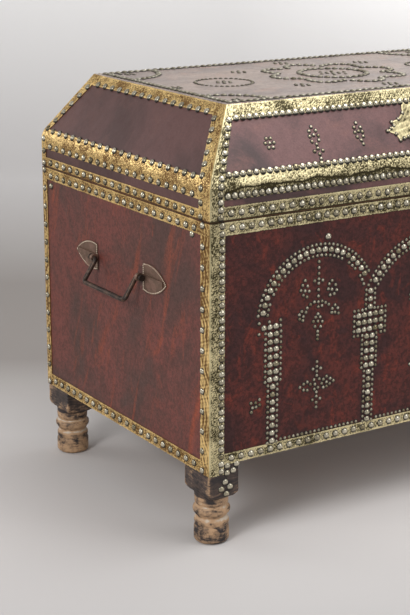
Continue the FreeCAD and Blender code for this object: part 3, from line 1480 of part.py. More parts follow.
QUARTER_MOTIF_SHARES = ((0, 0), (1.2, 0.3), (0.3, 1.2), (1.2, 1.3), (2.2, 2.1))
END_MOTIF_SHARES = ((0, 0), (0.2, 1.1), (0.2, -1.1), (1.2, 0.4), (1.1, -0.8))
STAR_POINT_SHARES = [(2 * x, 2 * y) for x, y in ROSETTE_SHARES[1:]]
step = SIZE["top_rosette_radius"]
for sign_x, sign_y in CORNERS:
    quarter = SIZE["top_corner_radius"] if sign_y < 0 else SIZE["top_back_corner_radius"]
    for angle in evenly(0, math.pi / 2, top_pitch / quarter):
        x = border_x - quarter * math.cos(angle)
        y = border_y - quarter * math.sin(angle)
        top_nail(sign_x * x, sign_y * y, "large")
    motif_x = sign_x * (border_x - quarter * 0.42)
    motif_y = sign_y * (border_y - quarter * 0.34)
    shares = [(sign_x * x, sign_y * y) for x, y in QUARTER_MOTIF_SHARES]
    top_motif(motif_x, motif_y, shares, motif_pitch)
    top_motif(sign_x * SIZE["top_cluster_x"], sign_y * SIZE["top_cluster_y"], ROSETTE_SHARES, step)
for sign in (-1, 1):
    top_ring(sign * SIZE["top_ring_x"], 0, SIZE["top_ring_radius"], pitch * 1.05)
    top_motif(sign * SIZE["top_ring_x"], 0, ROSETTE_SHARES, step)
    top_motif(0, sign * SIZE["top_cluster_reach"], ROSETTE_SHARES, step)
    shares = [(-sign * x, y) for x, y in END_MOTIF_SHARES]
    top_motif(sign * (border_x - 1.6 * motif_pitch), -1.6 * motif_pitch, shares, motif_pitch)
top_ring(0, 0, SIZE["medallion_ring_radius"], top_pitch, "large")
top_motif(0, 0, ROSETTE_SHARES, step)
top_motif(0, 0, STAR_POINT_SHARES, step)
MEDALLION_LOBES = 8
lobe_steps = 1440
lobe_gain = SIZE["medallion_lobe_radius"] - SIZE["medallion_cusp_radius"]
travelled, last = top_pitch, None
for count in range(lobe_steps):
    angle = 2 * math.pi * count / lobe_steps
    reach = SIZE["medallion_cusp_radius"] + lobe_gain * abs(math.cos(MEDALLION_LOBES * angle / 2))
    spot = FreeCAD.Vector(reach * math.cos(angle), reach * math.sin(angle), 0)
    travelled += (spot - last).Length if last else 0
    last = spot
    if travelled >= top_pitch:
        travelled -= top_pitch
        top_nail(spot.x, spot.y, "large")

# Nails that hold the iron and brass fittings

HINGE_NAIL_SHARES = ((-0.32, 0.35), (0.32, 0.35), (0, 0.75))
for shift in (-1, 0, 1):
    for along_share, up_share in HINGE_NAIL_SHARES:
        x = shift * SIZE["hinge_spacing"] + along_share * SIZE["hinge_width"]
        reach = SIZE["knuckle_radius"] + SIZE["knuckle_gap"] + up_share * SIZE["hinge_leaf_height"]
        spot_y = outer_half("front") + SIZE["leaf_thickness"]
        for node, height in (
            ("back_nails", SIZE["seam_height"] - reach), ("lid_side_nails", SIZE["seam_height"] + reach),
        ):
            nails.rows[node].append(("small", FreeCAD.Vector(x, spot_y, height), Y))
LOCK_NAIL_SHARES = ((-0.38, 0.35), (0.38, 0.35), (-0.34, -0.25), (0.34, -0.25))
for along_share, up_share in LOCK_NAIL_SHARES:
    spot = lock_centre + X * along_share * SIZE["lock_plate_width"] + Z * up_share * SIZE["lock_plate_height"]
    nails.rows["front_small_nails"].append(("small", spot - Y * SIZE["plate_thickness"], -Y))

FORMS = {kind: nail_form(kind) for kind in ("large", "small")}
for node, rows in nails.rows.items():
    copies = []
    for kind, spot, normal in rows:
        copy = FORMS[kind].copy()
        copy.Placement = FreeCAD.Placement(spot, FreeCAD.Rotation(Z, normal))
        copies.append(copy)
    keep(node, feature(node, Part.makeCompound(copies)))

# Check every object and write each node

doc.recompute()
for item in doc.Objects:
    if "Invalid" in item.State or "Error" in item.State:
        raise RuntimeError("failed: %s %s" % (item.Name, item.State))
for node, item in NODES.items():
    shape = item.Shape
    if shape.isNull() or not shape.isValid() or not shape.Solids:
        raise RuntimeError("bad shape: " + node)
    shape.exportStep("parts/%s.step" % node)
    print("%-28s solids %4d volume %.0f" % (node, len(shape.Solids), shape.Volume))
print("nodes", len(NODES))
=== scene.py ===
# %% [markdown]
# # Dressing a leather-covered dowry chest
# The chest's solids come measured and in place: boards, feet, strips, nails, handles and hinges.
# Here each one gets a handmade surface. Hide is stretched a little unevenly over the boards, sheet brass
# is embossed with punches, and each dome nail sits slightly differently.
# All lengths are in metres, so the numbers match the solids with no fitting.

# %% Load the measured chest
import math
import bpy
import numpy as np
from mathutils import Matrix, Vector


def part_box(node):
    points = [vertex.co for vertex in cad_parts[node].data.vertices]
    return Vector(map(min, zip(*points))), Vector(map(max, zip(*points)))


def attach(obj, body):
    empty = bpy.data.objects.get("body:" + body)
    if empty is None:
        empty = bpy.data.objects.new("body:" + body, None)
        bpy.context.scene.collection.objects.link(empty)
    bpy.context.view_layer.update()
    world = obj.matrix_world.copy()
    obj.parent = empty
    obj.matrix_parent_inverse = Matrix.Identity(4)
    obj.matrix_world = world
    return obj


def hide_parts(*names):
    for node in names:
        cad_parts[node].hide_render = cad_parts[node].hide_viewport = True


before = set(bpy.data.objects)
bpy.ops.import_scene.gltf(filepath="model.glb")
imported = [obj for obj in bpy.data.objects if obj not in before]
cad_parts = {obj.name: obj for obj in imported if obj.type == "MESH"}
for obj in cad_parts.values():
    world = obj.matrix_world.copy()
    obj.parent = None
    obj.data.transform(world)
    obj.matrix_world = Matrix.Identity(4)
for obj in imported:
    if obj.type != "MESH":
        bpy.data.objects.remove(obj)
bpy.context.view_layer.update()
mm = 0.001

# %% [markdown]
# ## The sizes the surfaces follow
# A scene could carry its own list of numbers, but most can be read off the solids' boxes. Only the lid's
# section needs a few more: where its knee stands, how round it is and how far the slopes lean in.

# %% Read the sizes
half_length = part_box("rim_strips")[1].x
half_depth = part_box("rim_strips")[1].y
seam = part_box("lid_edge_strips")[0].z
lid_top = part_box("lid_top_leather")[1].z
knee_height = 560.5 * mm
knee_radius = 40 * mm
view_yaw = 0.5692
UP = np.array((0, 0, 1.0))
lean_in = {"front": 62 * mm, "end": 68 * mm}
lean = {side: math.atan(inset / (lid_top - knee_height)) for side, inset in lean_in.items()}
half_width = {"front": half_depth, "end": half_length}
SIDES = {
    "front": ("front", (0, -1, 0)), "back": ("front", (0, 1, 0)),
    "left": ("end", (-1, 0, 0)), "right": ("end", (1, 0, 0)),
}
print("half length %.4f, half depth %.4f, seam %.4f, top %.4f" % (half_length, half_depth, seam, lid_top))

# %% [markdown]
# ## Turning arrays into closed meshes
# A mesh can be made face by face, or a whole array at once. Arrays are faster and easier to read: one
# grid of points is the outer skin, a second grid is the inner one, and a rim of faces joins them.

# %% Mesh helpers


def grid_faces(index):
    """Four-sided faces of a grid of point numbers: each joins a point, the next row's, that one's neighbour
    and its own neighbour."""
    return np.stack([index[:-1, :-1], index[1:, :-1], index[1:, 1:], index[:-1, 1:]], axis=-1).reshape(-1, 4)


def shell(outer, inner):
    """Points and faces of a closed shell: outer grid, inner grid turned round, and a rim along the border.
    The volume, a sixth of the sum of each triangle's box product, tells whether faces point outwards."""
    rows, columns = outer.shape[:2]
    index = np.arange(rows * columns).reshape(rows, columns)
    border = np.concatenate([index[0, :-1], index[:-1, -1], index[-1, :0:-1], index[:0:-1, 0]])
    after = np.roll(border, -1)
    far = rows * columns
    rim = np.stack([border, after, after + far, border + far], axis=-1)
    faces = np.concatenate([grid_faces(index), grid_faces(index)[:, ::-1] + far, rim])
    points = np.concatenate([outer.reshape(-1, 3), inner.reshape(-1, 3)])
    a, b, c, d = (points[faces[:, k]] for k in range(4))
    volume = np.sum(a * np.cross(b, c)) + np.sum(a * np.cross(c, d))
    return points, faces if volume > 0 else faces[:, ::-1]


def ring_stack(points):
    """Parts of a closed form from rings of points: quads from ring to ring, and a cap on each end."""
    rows, sides = points.shape[:2]
    index = np.arange(rows * sides).reshape(rows, sides)
    wrap = np.concatenate([index, index[:, :1]], axis=1)
    none = np.zeros((0, 3))
    return [
        (points.reshape(-1, 3), grid_faces(wrap)[:, ::-1]),
        (none, index[-1][None, :] - index.size),
        (none, index[0][None, ::-1] - index.size),
    ]


def mesh_points(mesh):
    places = np.zeros(len(mesh.vertices) * 3, np.float32)
    mesh.vertices.foreach_get("co", places)
    return places.reshape(-1, 3)


def build(name, parts, body, replaced, finish, smooth=50, marks=None):
    """One object from (points, faces) pairs, riding on a body and standing for the named solids."""
    points, blocks, shift = [], [], 0
    for spots, faces in parts:
        points.append(spots)
        blocks.append(faces + shift)
        shift += len(spots)
    points = np.concatenate(points)
    loops = np.concatenate([block.ravel() for block in blocks]).astype(np.int32)
    counts = np.concatenate([np.full(len(block), block.shape[1]) for block in blocks])
    starts = np.concatenate([[0], np.cumsum(counts)[:-1]]).astype(np.int32)
    mesh = bpy.data.meshes.new(name)
    mesh.vertices.add(len(points))
    mesh.vertices.foreach_set("co", points.astype(np.float32).ravel())
    mesh.loops.add(len(loops))
    mesh.loops.foreach_set("vertex_index", loops)
    mesh.polygons.add(len(counts))
    mesh.polygons.foreach_set("loop_start", starts)
    mesh.update(calc_edges=True)
    mesh.validate()
    mesh.shade_smooth()
    mesh.set_sharp_from_angle(angle=math.radians(smooth))
    for mark, values in (marks or {}).items():
        layer = mesh.attributes.new(mark, "FLOAT", "POINT")
        layer.data.foreach_set("value", np.concatenate(values).astype(np.float32))
    piece = bpy.data.objects.new(name, mesh)
    bpy.context.scene.collection.objects.link(piece)
    mesh.materials.append(finish)
    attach(piece, body)
    if replaced:
        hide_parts(*replaced)
    print("%s: %d points, %d faces" % (name, len(points), len(counts)))
    return piece


# %% [markdown]
# ## Uneven by hand
# Real hide and sheet brass are never quite flat. Random numbers would look like static, so slow waves
# are added up instead: a few sines with seeded directions and lengths. The same seed gives the same chest.

# %% Waves and punched foliage


def waves(u, v, seed, longest, height, count=9):
    """Sum of sines: each has its own direction, length and start, and the sum is scaled to a height."""
    lots = np.random.default_rng(seed)
    total = np.zeros(np.broadcast(u, v).shape)
    for lot in range(count):
        angle, start = lots.uniform(0, 2 * math.pi, 2)
        length = longest * lots.uniform(0.25, 1)
        total += np.sin(2 * math.pi * (u * math.cos(angle) + v * math.sin(angle)) / length + start)
    return total * height / math.sqrt(count)


def foliage(u, v, width, seed):
    """Embossing from -1 to 1 on a strip. The sheet is filled with small curling tendrils: a sine whose
    phase is bent by slow waves, so its ridges wander and close into loops. A plain line runs by each
    edge."""
    bend = waves(u, v, seed, 15 * mm, 2.1) + waves(u, v, seed + 1, 7 * mm, 1.0)
    tendrils = np.sin(2 * math.pi * (u + 0.6 * v) / (5.6 * mm) + bend * 1.5)
    loops = np.sin(2 * math.pi * (u - 0.9 * v) / (7.4 * mm) + 1.7 * bend)
    edge = np.minimum(v, width - v)
    line = np.exp(-((edge - 1.5 * mm) / (0.7 * mm)) ** 2)
    punches = waves(u, v, seed + 2, 4.4 * mm, 0.35)
    field = (0.75 * tendrils + 0.55 * loops + punches) * (1 - line) + 0.8 * line
    return np.clip(field, -1.2, 1.2) / 1.2


def drawn_lines(u, v, width, seed):
    """Embossing of the end legs: a few long ridges run up the strip and waver slowly."""
    sway = waves(u, 0 * v, seed, 90 * mm, 2.4 * mm) + waves(u, v, seed + 1, 30 * mm, 0.9 * mm)
    ridges = np.sin(2 * math.pi * (v + sway) / (8.5 * mm)) * (0.6 + waves(u, v, seed + 2, 60 * mm, 0.35))
    hammer = waves(u, v, seed + 3, 11 * mm, 0.5)
    return np.clip(0.75 * ridges + hammer, -1.1, 1.1) / 1.1


print("a wave of seed 1 at the middle: %.3f mm" % (waves(np.zeros(1), np.zeros(1), 1, 0.1, 1.0)[0]))

# %% [markdown]
# ## Mixing finishes from nodes
# An image texture would be quick, but it has one view and one light baked in. Node noise on the object's
# own coordinates has none, and stays sharp close up. These helpers keep each recipe to a few lines.

# %% Node helpers


class Finish:
    """A material under construction: its nodes, its shader and the object's coordinates."""

    def __init__(self, name):
        self.material = bpy.data.materials.new(name)
        self.material.use_nodes = True
        self.tree = self.material.node_tree
        self.shader = self.tree.nodes["Principled BSDF"]
        self.place = self.tree.nodes.new("ShaderNodeTexCoord").outputs["Object"]

    def fill(self, socket, value):
        """Wires another node's output to a socket, or sets a number or a colour on it."""
        if isinstance(value, bpy.types.NodeSocket):
            self.tree.links.new(value, socket)
        elif socket.type == "RGBA":
            socket.default_value = (*value, 1)
        else:
            socket.default_value = value

    def node(self, kind, **inputs):
        node = self.tree.nodes.new("ShaderNode" + kind)
        for key, value in inputs.items():
            self.fill(node.inputs[key.replace("_", " ")], value)
        return node

    def stretched(self, scale, turn=(0, 0, 0)):
        """The object's coordinates, turned and then scaled, so that a pattern runs long one way."""
        node = self.node("Mapping", Vector=self.place, Scale=[1 / part for part in scale], Rotation=turn)
        node.vector_type = "TEXTURE"
        return node.outputs["Vector"]

    def noise(self, scale, detail=4, rough=0.55, warp=0, place=None):
        inputs = {"Scale": scale, "Detail": detail, "Roughness": rough, "Distortion": warp}
        return self.node("TexNoise", Vector=place or self.place, **inputs).outputs["Fac"]

    def cells(self, scale):
        node = self.node("TexVoronoi", Vector=self.place, Scale=scale)
        node.feature = "DISTANCE_TO_EDGE"
        return node.outputs["Distance"]

    def mark(self, name):
        node = self.node("Attribute")
        node.attribute_name = name
        return node.outputs["Fac"]

    def span(self, value, low, high, to_low=0.0, to_high=1.0):
        """A value moved from one range to another and held inside it."""
        inputs = {"From_Min": low, "From_Max": high, "To_Min": to_low, "To_Max": to_high}
        return self.node("MapRange", Value=value, **inputs).outputs["Result"]

    def sums(self, how, first, second):
        node = self.node("Math")
        node.operation = how
        self.fill(node.inputs[0], first)
        self.fill(node.inputs[1], second)
        return node.outputs[0]

    def blend(self, share, first, second):
        """Two colours mixed by a share; each colour is a socket or three numbers."""
        node = self.node("Mix")
        node.data_type = "RGBA"
        self.fill(node.inputs["Factor"], share)
        for key, value in (("A", first), ("B", second)):
            self.fill([s for s in node.inputs if s.name == key and s.type == "RGBA"][0], value)
        return [s for s in node.outputs if s.type == "RGBA"][0]

    def bumps(self, *layers):
        """Bump nodes one after another: (height, distance in metres, strength) for each."""
        before = {}
        for height, distance, strength in layers:
            bump = self.node("Bump", Height=height, Distance=distance, Strength=strength, **before)
            before = {"Normal": bump.outputs["Normal"]}
        self.give(**before)

    def give(self, **settings):
        """Fills shader sockets and returns the material."""
        for key, value in settings.items():
            self.fill(self.shader.inputs[key.replace("_", " ")], value)
        return self.material


def from_screen(red, green, blue):
    """A colour as screens count it, 0 to 255, made linear: divide by 255, then the 2.4 power curve."""
    shares = [part / 255 for part in (red, green, blue)]
    return tuple(s / 12.92 if s < 0.04045 else ((s + 0.055) / 1.055) ** 2.4 for s in shares)


def linear(*tones):
    return [from_screen(*tone) for tone in tones]


# %% [markdown]
# ## Hide
# The leather is dyed red-brown and darkened by use. Dye sits unevenly: near-black blotches, red patches,
# and on the ends long orange streaks. A single noise would look like marble, so a coarse, a middle and a
# fine one are layered, with grain as bump.

# %% Hide finishes


def hide(name, ground, dark, glow, streaks, gloss, shine, patches, grain, turn=(0, 0, 0), shade=None):
    """Dyed leather: ground and dark by a coarse and a middle noise, glow where a third noise, stretched
    into streaks, peaks, and near-black specks. Shine is how strongly the surface mirrors, patches the
    coarse noise's scale, grain how dark the specks are, and shade the tone of the painted shade laid on the
    sides marked deep."""
    ground, dark, glow, shade = linear(ground, dark, glow, shade or dark)
    finish = Finish(name)
    coarse = finish.noise(patches, 5, 0.6, 0.8)
    middle = finish.noise(60, 7, 0.74, 0.4)
    speck = finish.noise(190, 5, 0.74, 0.3)
    fine = finish.noise(430, 3, 0.6)
    along = finish.stretched(streaks, turn)
    streak = finish.noise(1, 6, 0.62, 0.9, along)
    dye = finish.blend(finish.span(coarse, 0.42, 0.60, 0, 0.9), ground, dark)
    dye = finish.blend(finish.span(middle, 0.47, 0.58, 0, grain), dye, dark)
    dye = finish.blend(finish.span(streak, 0.54, 0.74, 0, 0.85), dye, glow)
    night = tuple(0.3 * part for part in dark)
    dye = finish.blend(finish.span(speck, 0.46, 0.56, 0, grain), dye, night)
    dye = finish.blend(finish.span(fine, 0.40, 0.75, 0, 0.35), dye, night)
    # Painted shade: the sides marked deep are darkened towards the shade tone.
    dye = finish.blend(finish.span(finish.mark("deep"), 0, 1, 0, 0.6), dye, shade)
    creases = finish.span(finish.cells(75), 0, 0.03)
    pores = finish.cells(800)
    finish.bumps(
        (coarse, 1.5 * mm, 0.3), (creases, 0.12 * mm, 0.25), (speck, 0.3 * mm, 0.35), (pores, 0.16 * mm, 0.5)
    )
    return finish.give(
        Base_Color=dye,
        Roughness=finish.span(middle, 0.3, 0.7, gloss, gloss + 0.18),
        Specular_IOR_Level=shine,
    )


hide_front = hide(
    "hide_front", (96, 44, 37), (60, 34, 34), (132, 54, 38),
    streaks=(44, 44, 28), gloss=0.46, shine=0.25, patches=11, grain=0.55,
)
hide_end = hide(
    "hide_end", (118, 64, 56), (82, 58, 52), (160, 74, 46),
    streaks=(34, 30, 5), gloss=0.44, shine=0.3, patches=6, grain=0.4, turn=(0.3, 0, 0),
)
# The lid's ends, marked deep, are painted darker and redder than the front slopes: painted shade.
hide_lid = hide(
    "hide_lid", (118, 80, 78), (66, 46, 46), (132, 88, 80),
    streaks=(12, 16, 16), gloss=0.34, shine=0.5, patches=7, grain=0.12, shade=(66, 34, 28),
)
# Painted reflection: the top's pale grey ground stands for the glare of the light on the top, painted into
# the hide's colour.
hide_top = hide(
    "hide_top", (162, 142, 130), (134, 118, 112), (172, 140, 124),
    streaks=(18, 18, 18), gloss=0.30, shine=0.8, patches=8, grain=0.3,
)
print("hides:", [m.name for m in (hide_front, hide_end, hide_lid, hide_top)])

# %% [markdown]
# ## Brass strips and nails
# Old sheet brass is bright on its ridges and brown in the hollows. The relief is real geometry with its
# height stored as an attribute, so the patina can follow it. The nails are paler than the strips, and
# each has its own tone, kept as an attribute too.

# %% Brass finishes


def strip_finish(name, ridge, hollow, lit_end_ridge, lit_end_hollow):
    """Polished metal on the ridges and patina in the hollows, by the stored relief and a little noise. The
    ends are painted lighter and warmer than the front by the stored lit_end mark: painted light on the ends
    and painted shade on the front. Where the relief mark is sunk below -1.1, the hollow turns to the dark
    tone as painted shade."""
    ridge, hollow, soot_and_shade = linear(ridge, hollow, (22, 16, 12))
    lit_end_ridge, lit_end_hollow = linear(lit_end_ridge, lit_end_hollow)
    finish = Finish(name)
    relief = finish.mark("relief")
    cloud = finish.noise(26, 4, 0.6)
    fine = finish.noise(380, 4, 0.65)
    worn = finish.sums("ADD", relief, finish.span(cloud, 0.3, 0.7, -0.8, 0.5))
    worn = finish.sums("ADD", worn, finish.span(fine, 0.3, 0.7, -0.14, 0.14))
    worn = finish.span(worn, -0.6, 0.55)
    # Painted light: the ends' lighter, warmer tones stand for the light falling on the ends, the front's
    # darker ones for shade.
    bright = finish.blend(finish.mark("lit_end"), ridge, lit_end_ridge)
    deep = finish.blend(finish.mark("lit_end"), hollow, lit_end_hollow)
    deep = finish.blend(finish.span(relief, -2, -1.1, 1, 0), deep, soot_and_shade)
    finish.bumps((fine, 0.35 * mm, 0.45), (finish.cells(520), 0.25 * mm, 0.35))
    return finish.give(
        Base_Color=finish.blend(worn, deep, bright),
        Metallic=finish.span(worn, 0, 1, 0.7, 0.95),
        Roughness=finish.span(worn, 0, 1, 0.54, 0.34),
    )


def nail_finish(name, bright, dull, soot_and_shade):
    """Dome: its own tone between bright and dull, and a dark tone where the stored grime_and_shade mark says
    so: partly soiling, partly painted shade and a painted dark reflection.
    """
    bright, dull, soot_and_shade = linear(bright, dull, soot_and_shade)
    finish = Finish(name)
    pits = finish.noise(900, 3, 0.6)
    tint = finish.blend(finish.mark("tone"), dull, bright)
    grime_and_shade_share = finish.sums("ADD", finish.mark("grime_and_shade"), finish.span(pits, 0.3, 0.7, -0.12, 0.12))
    grime_and_shade_share = finish.span(grime_and_shade_share, 0.05, 0.95)
    # Painted shade: the dark tone stands partly for soiling and partly for shade and dark reflection on the
    # domes.
    tint = finish.blend(grime_and_shade_share, tint, soot_and_shade)
    finish.bumps((pits, 0.12 * mm, 0.3))
    return finish.give(
        Base_Color=tint,
        Metallic=finish.span(grime_and_shade_share, 0, 1, 1, 0.3),
        Roughness=finish.span(grime_and_shade_share, 0, 1, 0.2, 0.5),
    )


brass_strip = strip_finish("strip_brass_worn", (230, 216, 170), (62, 54, 28), (250, 216, 146), (116, 82, 38))
brass_nail = nail_finish("nail_brass_worn_painted_shade", (226, 218, 196), (128, 116, 84), (20, 17, 13))
print("metals:", brass_strip.name, brass_nail.name)

# %% [markdown]
# ## Iron and wood
# The handles are forged iron, nearly black with brown rust. The feet are turned wood, pale where the
# rings have rubbed and dark in the grooves. Inside, the boards are plain planks with long grain.

# %% Iron and wood finishes


def iron_finish(name, dark, rust):
    dark, rust = linear(dark, rust)
    finish = Finish(name)
    cloud = finish.noise(70, 5, 0.65, 0.4)
    fine = finish.noise(600, 3, 0.6)
    tint = finish.blend(finish.span(cloud, 0.45, 0.68), dark, rust)
    finish.bumps((cloud, 0.6 * mm, 0.4), (fine, 0.2 * mm, 0.4))
    return finish.give(
        Base_Color=tint,
        Metallic=finish.span(cloud, 0.45, 0.68, 0.85, 0.35),
        Roughness=finish.span(fine, 0.3, 0.7, 0.38, 0.6),
    )


def wood_finish(name, pale, dark, grain, worn=None):
    """Wood: noise stretched along the grain between two tones, fine fibres as bump, and worn places
    paler."""
    pale, dark, chalk = linear(pale, dark, (196, 186, 170))
    finish = Finish(name)
    fibres = finish.noise(1, 6, 0.62, 1.6, finish.stretched(grain))
    cloud = finish.noise(42, 5, 0.65)
    tint = finish.blend(finish.span(fibres, 0.38, 0.62), pale, dark)
    tint = finish.blend(finish.span(cloud, 0.47, 0.62, 0, 0.7), tint, tuple(0.5 * part for part in dark))
    if worn:
        rubbed = finish.sums("ADD", finish.mark("worn"), finish.span(cloud, 0.3, 0.7, 0.65, -0.65))
        rubbed = finish.sums("ADD", rubbed, finish.span(fibres, 0.3, 0.7, 0.35, -0.35))
        tint = finish.blend(finish.span(rubbed, 0.3, 0.9), tint, from_screen(*worn))
        # The palest tone, where the mark is highest, is partly rubbed wood and partly a painted highlight.
        tint = finish.blend(finish.span(rubbed, 1.15, 1.5, 0, 0.8), tint, chalk)
    finish.bumps((fibres, 0.5 * mm, 0.5), (finish.noise(300, 3, 0.6), 0.2 * mm, 0.3))
    return finish.give(Base_Color=tint, Roughness=finish.span(fibres, 0.3, 0.7, 0.5, 0.72))


iron_dark = iron_finish("iron_dark", (62, 54, 50), (92, 68, 52))
plate_iron = iron_finish("plate_iron", (118, 96, 82), (132, 100, 86))
bead_iron = iron_finish("bead_iron", (206, 190, 170), (150, 124, 104))
foot_wood = wood_finish("foot_wood_turned", (92, 72, 60), (44, 37, 38), (30, 30, 120), (176, 142, 108))
board_wood = wood_finish("board_wood_long", (158, 118, 80), (112, 78, 50), (7, 60, 60))
print("iron and wood:", [m.name for m in (iron_dark, plate_iron, foot_wood, board_wood)])

# %% [markdown]
# ## Two kinds of wall
# Everything flat on the body is a strip of one of four walls. A wall is a plane with its own along
# and outward directions. On the lid the same strip has to bend: up the rail, round the knee and up the
# slope. So the lid's section is written once, as a function of the distance travelled along it.

# %% Walls and the lid's section


def axes(name):
    """Outward and along directions of a side: along is up crossed with outward."""
    out = np.array(SIDES[name][1], float)
    return out, np.cross(UP, out)


def wall(name, u, height, proud):
    """A point on a wall: outward by half the width plus how proud it stands, along by u, up by height."""
    out, along = axes(name)
    reach = half_width[SIDES[name][0]] + proud
    return out * reach[..., None] + along * u[..., None] + UP * height[..., None]


def section(kind, travel):
    """The lid's section at a distance travelled from the seam: half width, height and how far the face
    leans. Upright up to the knee's arc, then round it by travel over radius, then straight up the slope."""
    turn = lean[kind]
    low = knee_height - knee_radius * math.tan(turn / 2)
    straight = low - seam
    angle = np.clip((travel - straight) / knee_radius, 0, turn)
    beyond = np.maximum(travel - straight - knee_radius * turn, 0)
    inset = knee_radius * (1 - np.cos(angle)) + beyond * math.sin(turn)
    height = seam + np.minimum(travel, straight) + knee_radius * np.sin(angle) + beyond * math.cos(turn)
    return half_width[kind] - inset, height, angle


def travel_to(kind, height):
    """The travel at which the section reaches a height: the section's own steps turned round."""
    turn = lean[kind]
    low = knee_height - knee_radius * math.tan(turn / 2)
    end = low + knee_radius * math.sin(turn)
    arc = np.arcsin(np.clip((np.minimum(height, end) - low) / knee_radius, 0, 1)) * knee_radius
    return np.minimum(height, low) - seam + arc + np.maximum(height - end, 0) / math.cos(turn)


def lid_face(name, u, travel, proud):
    """A point on a lid side: the section's half width outward and its height, then proud along the face's
    normal."""
    out, along = axes(name)
    half, height, angle = section(SIDES[name][0], travel)
    normal = out * np.cos(angle)[..., None] + UP * np.sin(angle)[..., None]
    flat = out * half[..., None] + UP * height[..., None]
    return flat + along * u[..., None] + normal * proud[..., None]


def other(kind):
    return "end" if kind == "front" else "front"


def lid_grid(name, low, high, short, pitch):
    """Grid over a lid side between two heights, stopping short of the hips: travel is even, and each row is
    as long as the other side's section is wide at that height."""
    kind = SIDES[name][0]
    ends = travel_to(kind, np.array([low, high]))
    travel = np.linspace(ends[0], ends[1], max(int((ends[1] - ends[0]) / pitch), 4) + 1)
    height = section(kind, travel)[1]
    reach = section(other(kind), travel_to(other(kind), height))[0] - short
    share = np.linspace(-1, 1, int(2 * reach.max() / pitch) + 1)
    return share[:, None] * reach[None, :], np.broadcast_to(travel, (len(share), len(travel)))


print("knee leans: front %.1f, end %.1f degrees" % tuple(math.degrees(lean[k]) for k in ("front", "end")))

# %% [markdown]
# ## Stretched hides
# A flat leather panel could be a box with a bump map. But hide pulled over boards has slow swells that
# bend reflections, so each panel is a thin closed shell whose outer grid rises and falls by a fraction
# of a millimetre.

# %% Hides on the body and the lid
leather_depth = 1.0 * mm
leather_inner = 2.6 * mm
leather_pitch = 5 * mm


def body_hide(name):
    low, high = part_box(name + "_leather")
    reach = half_width[other(SIDES[name][0])] - 2.5 * mm
    u = np.linspace(-reach, reach, int(2 * reach / leather_pitch))[:, None]
    v = np.linspace(low.z, high.z, int((high.z - low.z) / leather_pitch))[None, :]
    u, v = np.broadcast_arrays(u, v)
    swell = waves(u, v, 11 + len(name), 0.16, 0.14 * mm) + waves(u, v, 31 + len(name), 0.045, 0.05 * mm)
    outer = wall(name, u, v, swell - leather_depth)
    inner = wall(name, u, v, np.full(u.shape, -leather_inner))
    finish = hide_front if SIDES[name][0] == "front" else hide_end
    return build(name + "_hide", [shell(outer, inner)], "carcass", [name + "_leather"], finish)


for side in SIDES:
    body_hide(side)


def lid_hides(title, low, high, node):
    """The four sides of one level of the lid, each its own shell with swells. The ends are marked deep, which
    paints them darker and redder than the front slopes: painted shade."""
    parts, ends = [], []
    for number, name in enumerate(SIDES):
        u, travel = lid_grid(name, low, high, 3 * mm, leather_pitch)
        swell = waves(u, travel, 50 + number, 0.14, 0.12 * mm)
        outer = lid_face(name, u, travel, swell - leather_depth)
        parts.append(shell(outer, lid_face(name, u, travel, np.full(u.shape, -leather_inner))))
        ends.append(np.full(2 * u.size, float(SIDES[name][0] == "end")))
    return build(title, parts, "lid", [node], hide_lid, 50, {"deep": ends})


band_box, slope_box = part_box("lid_band_leathers"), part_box("lid_slope_leathers")
lid_hides("lid_band_hides", band_box[0].z, band_box[1].z, "lid_band_leathers")
lid_hides("lid_slope_hides", slope_box[0].z + 0.05 * mm, slope_box[1].z, "lid_slope_leathers")

low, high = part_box("lid_top_leather")
u = np.linspace(low.x, high.x, 150)[:, None]
v = np.linspace(low.y, high.y, 84)[None, :]
u, v = np.broadcast_arrays(u, v)
level = np.full(u.shape, low.z + 0.4 * mm)
top_swell = high.z - 0.1 * mm + waves(u, v, 77, 0.15, 0.14 * mm)
build(
    "lid_top_hide",
    [shell(np.stack([u, v, top_swell], axis=-1), np.stack([u, v, level], axis=-1))],
    "lid", ["lid_top_leather"], hide_top,
)

# %% [markdown]
# ## Embossed strips
# Each strip is punched sheet, about a millimetre thick. The same foliage function runs along flat strips,
# angles and the bent lid strips, because all of them only ask how far along and how far across a point is.
# Where two strips cross, the one on top stands a third of a millimetre higher.

# %% Strips on the body
relief_height = 0.4 * mm
sheet_inner = -0.85 * mm
strip_pitch = 1.25 * mm
fold_width = 2.2 * mm


def flat_strip(name, low, high, reach, seed):
    """A strip along a wall between two heights: the grid is u along and v up, raised by the foliage."""
    u = np.linspace(-reach, reach, int(2 * reach / strip_pitch))[:, None]
    v = np.linspace(low, high, int((high - low) / strip_pitch) + 2)[None, :]
    u, v = np.broadcast_arrays(u, v)
    relief = foliage(u, v - low, high - low, seed)
    outer = wall(name, u, v, relief_height * relief)
    inner = wall(name, u, v, np.full(u.shape, sheet_inner))
    return shell(outer, inner), np.concatenate([relief.ravel(), np.full(relief.size, -1.0)])


def strips(title, makers, body, nodes):
    """Builds one object from (shell, relief) pairs. By the seam the relief's mark is sunk, which paints shade
    there along the gap between lid and body. A point is marked lit_end where it lies nearer to an end's face
    than to a long side's, with the end's distance scaled so that the border follows the hips; there the strip
    is painted lighter and warmer, as painted light."""
    marks = {"relief": [], "lit_end": []}
    for (points, faces), relief in makers:
        # Painted shade along the seam between lid and body: the mark sinks into the dark tone there.
        marks["relief"].append(relief - 2.5 * np.exp(-((points[:, 2] - seam) / (1.5 * mm)) ** 2))
        end_gap = (half_length - np.abs(points[:, 0])) * lean_in["front"] / lean_in["end"]
        marks["lit_end"].append((end_gap < half_depth - np.abs(points[:, 1])).astype(float))
    return build(title, [part for part, relief in makers], body, nodes, brass_strip, 55, marks)


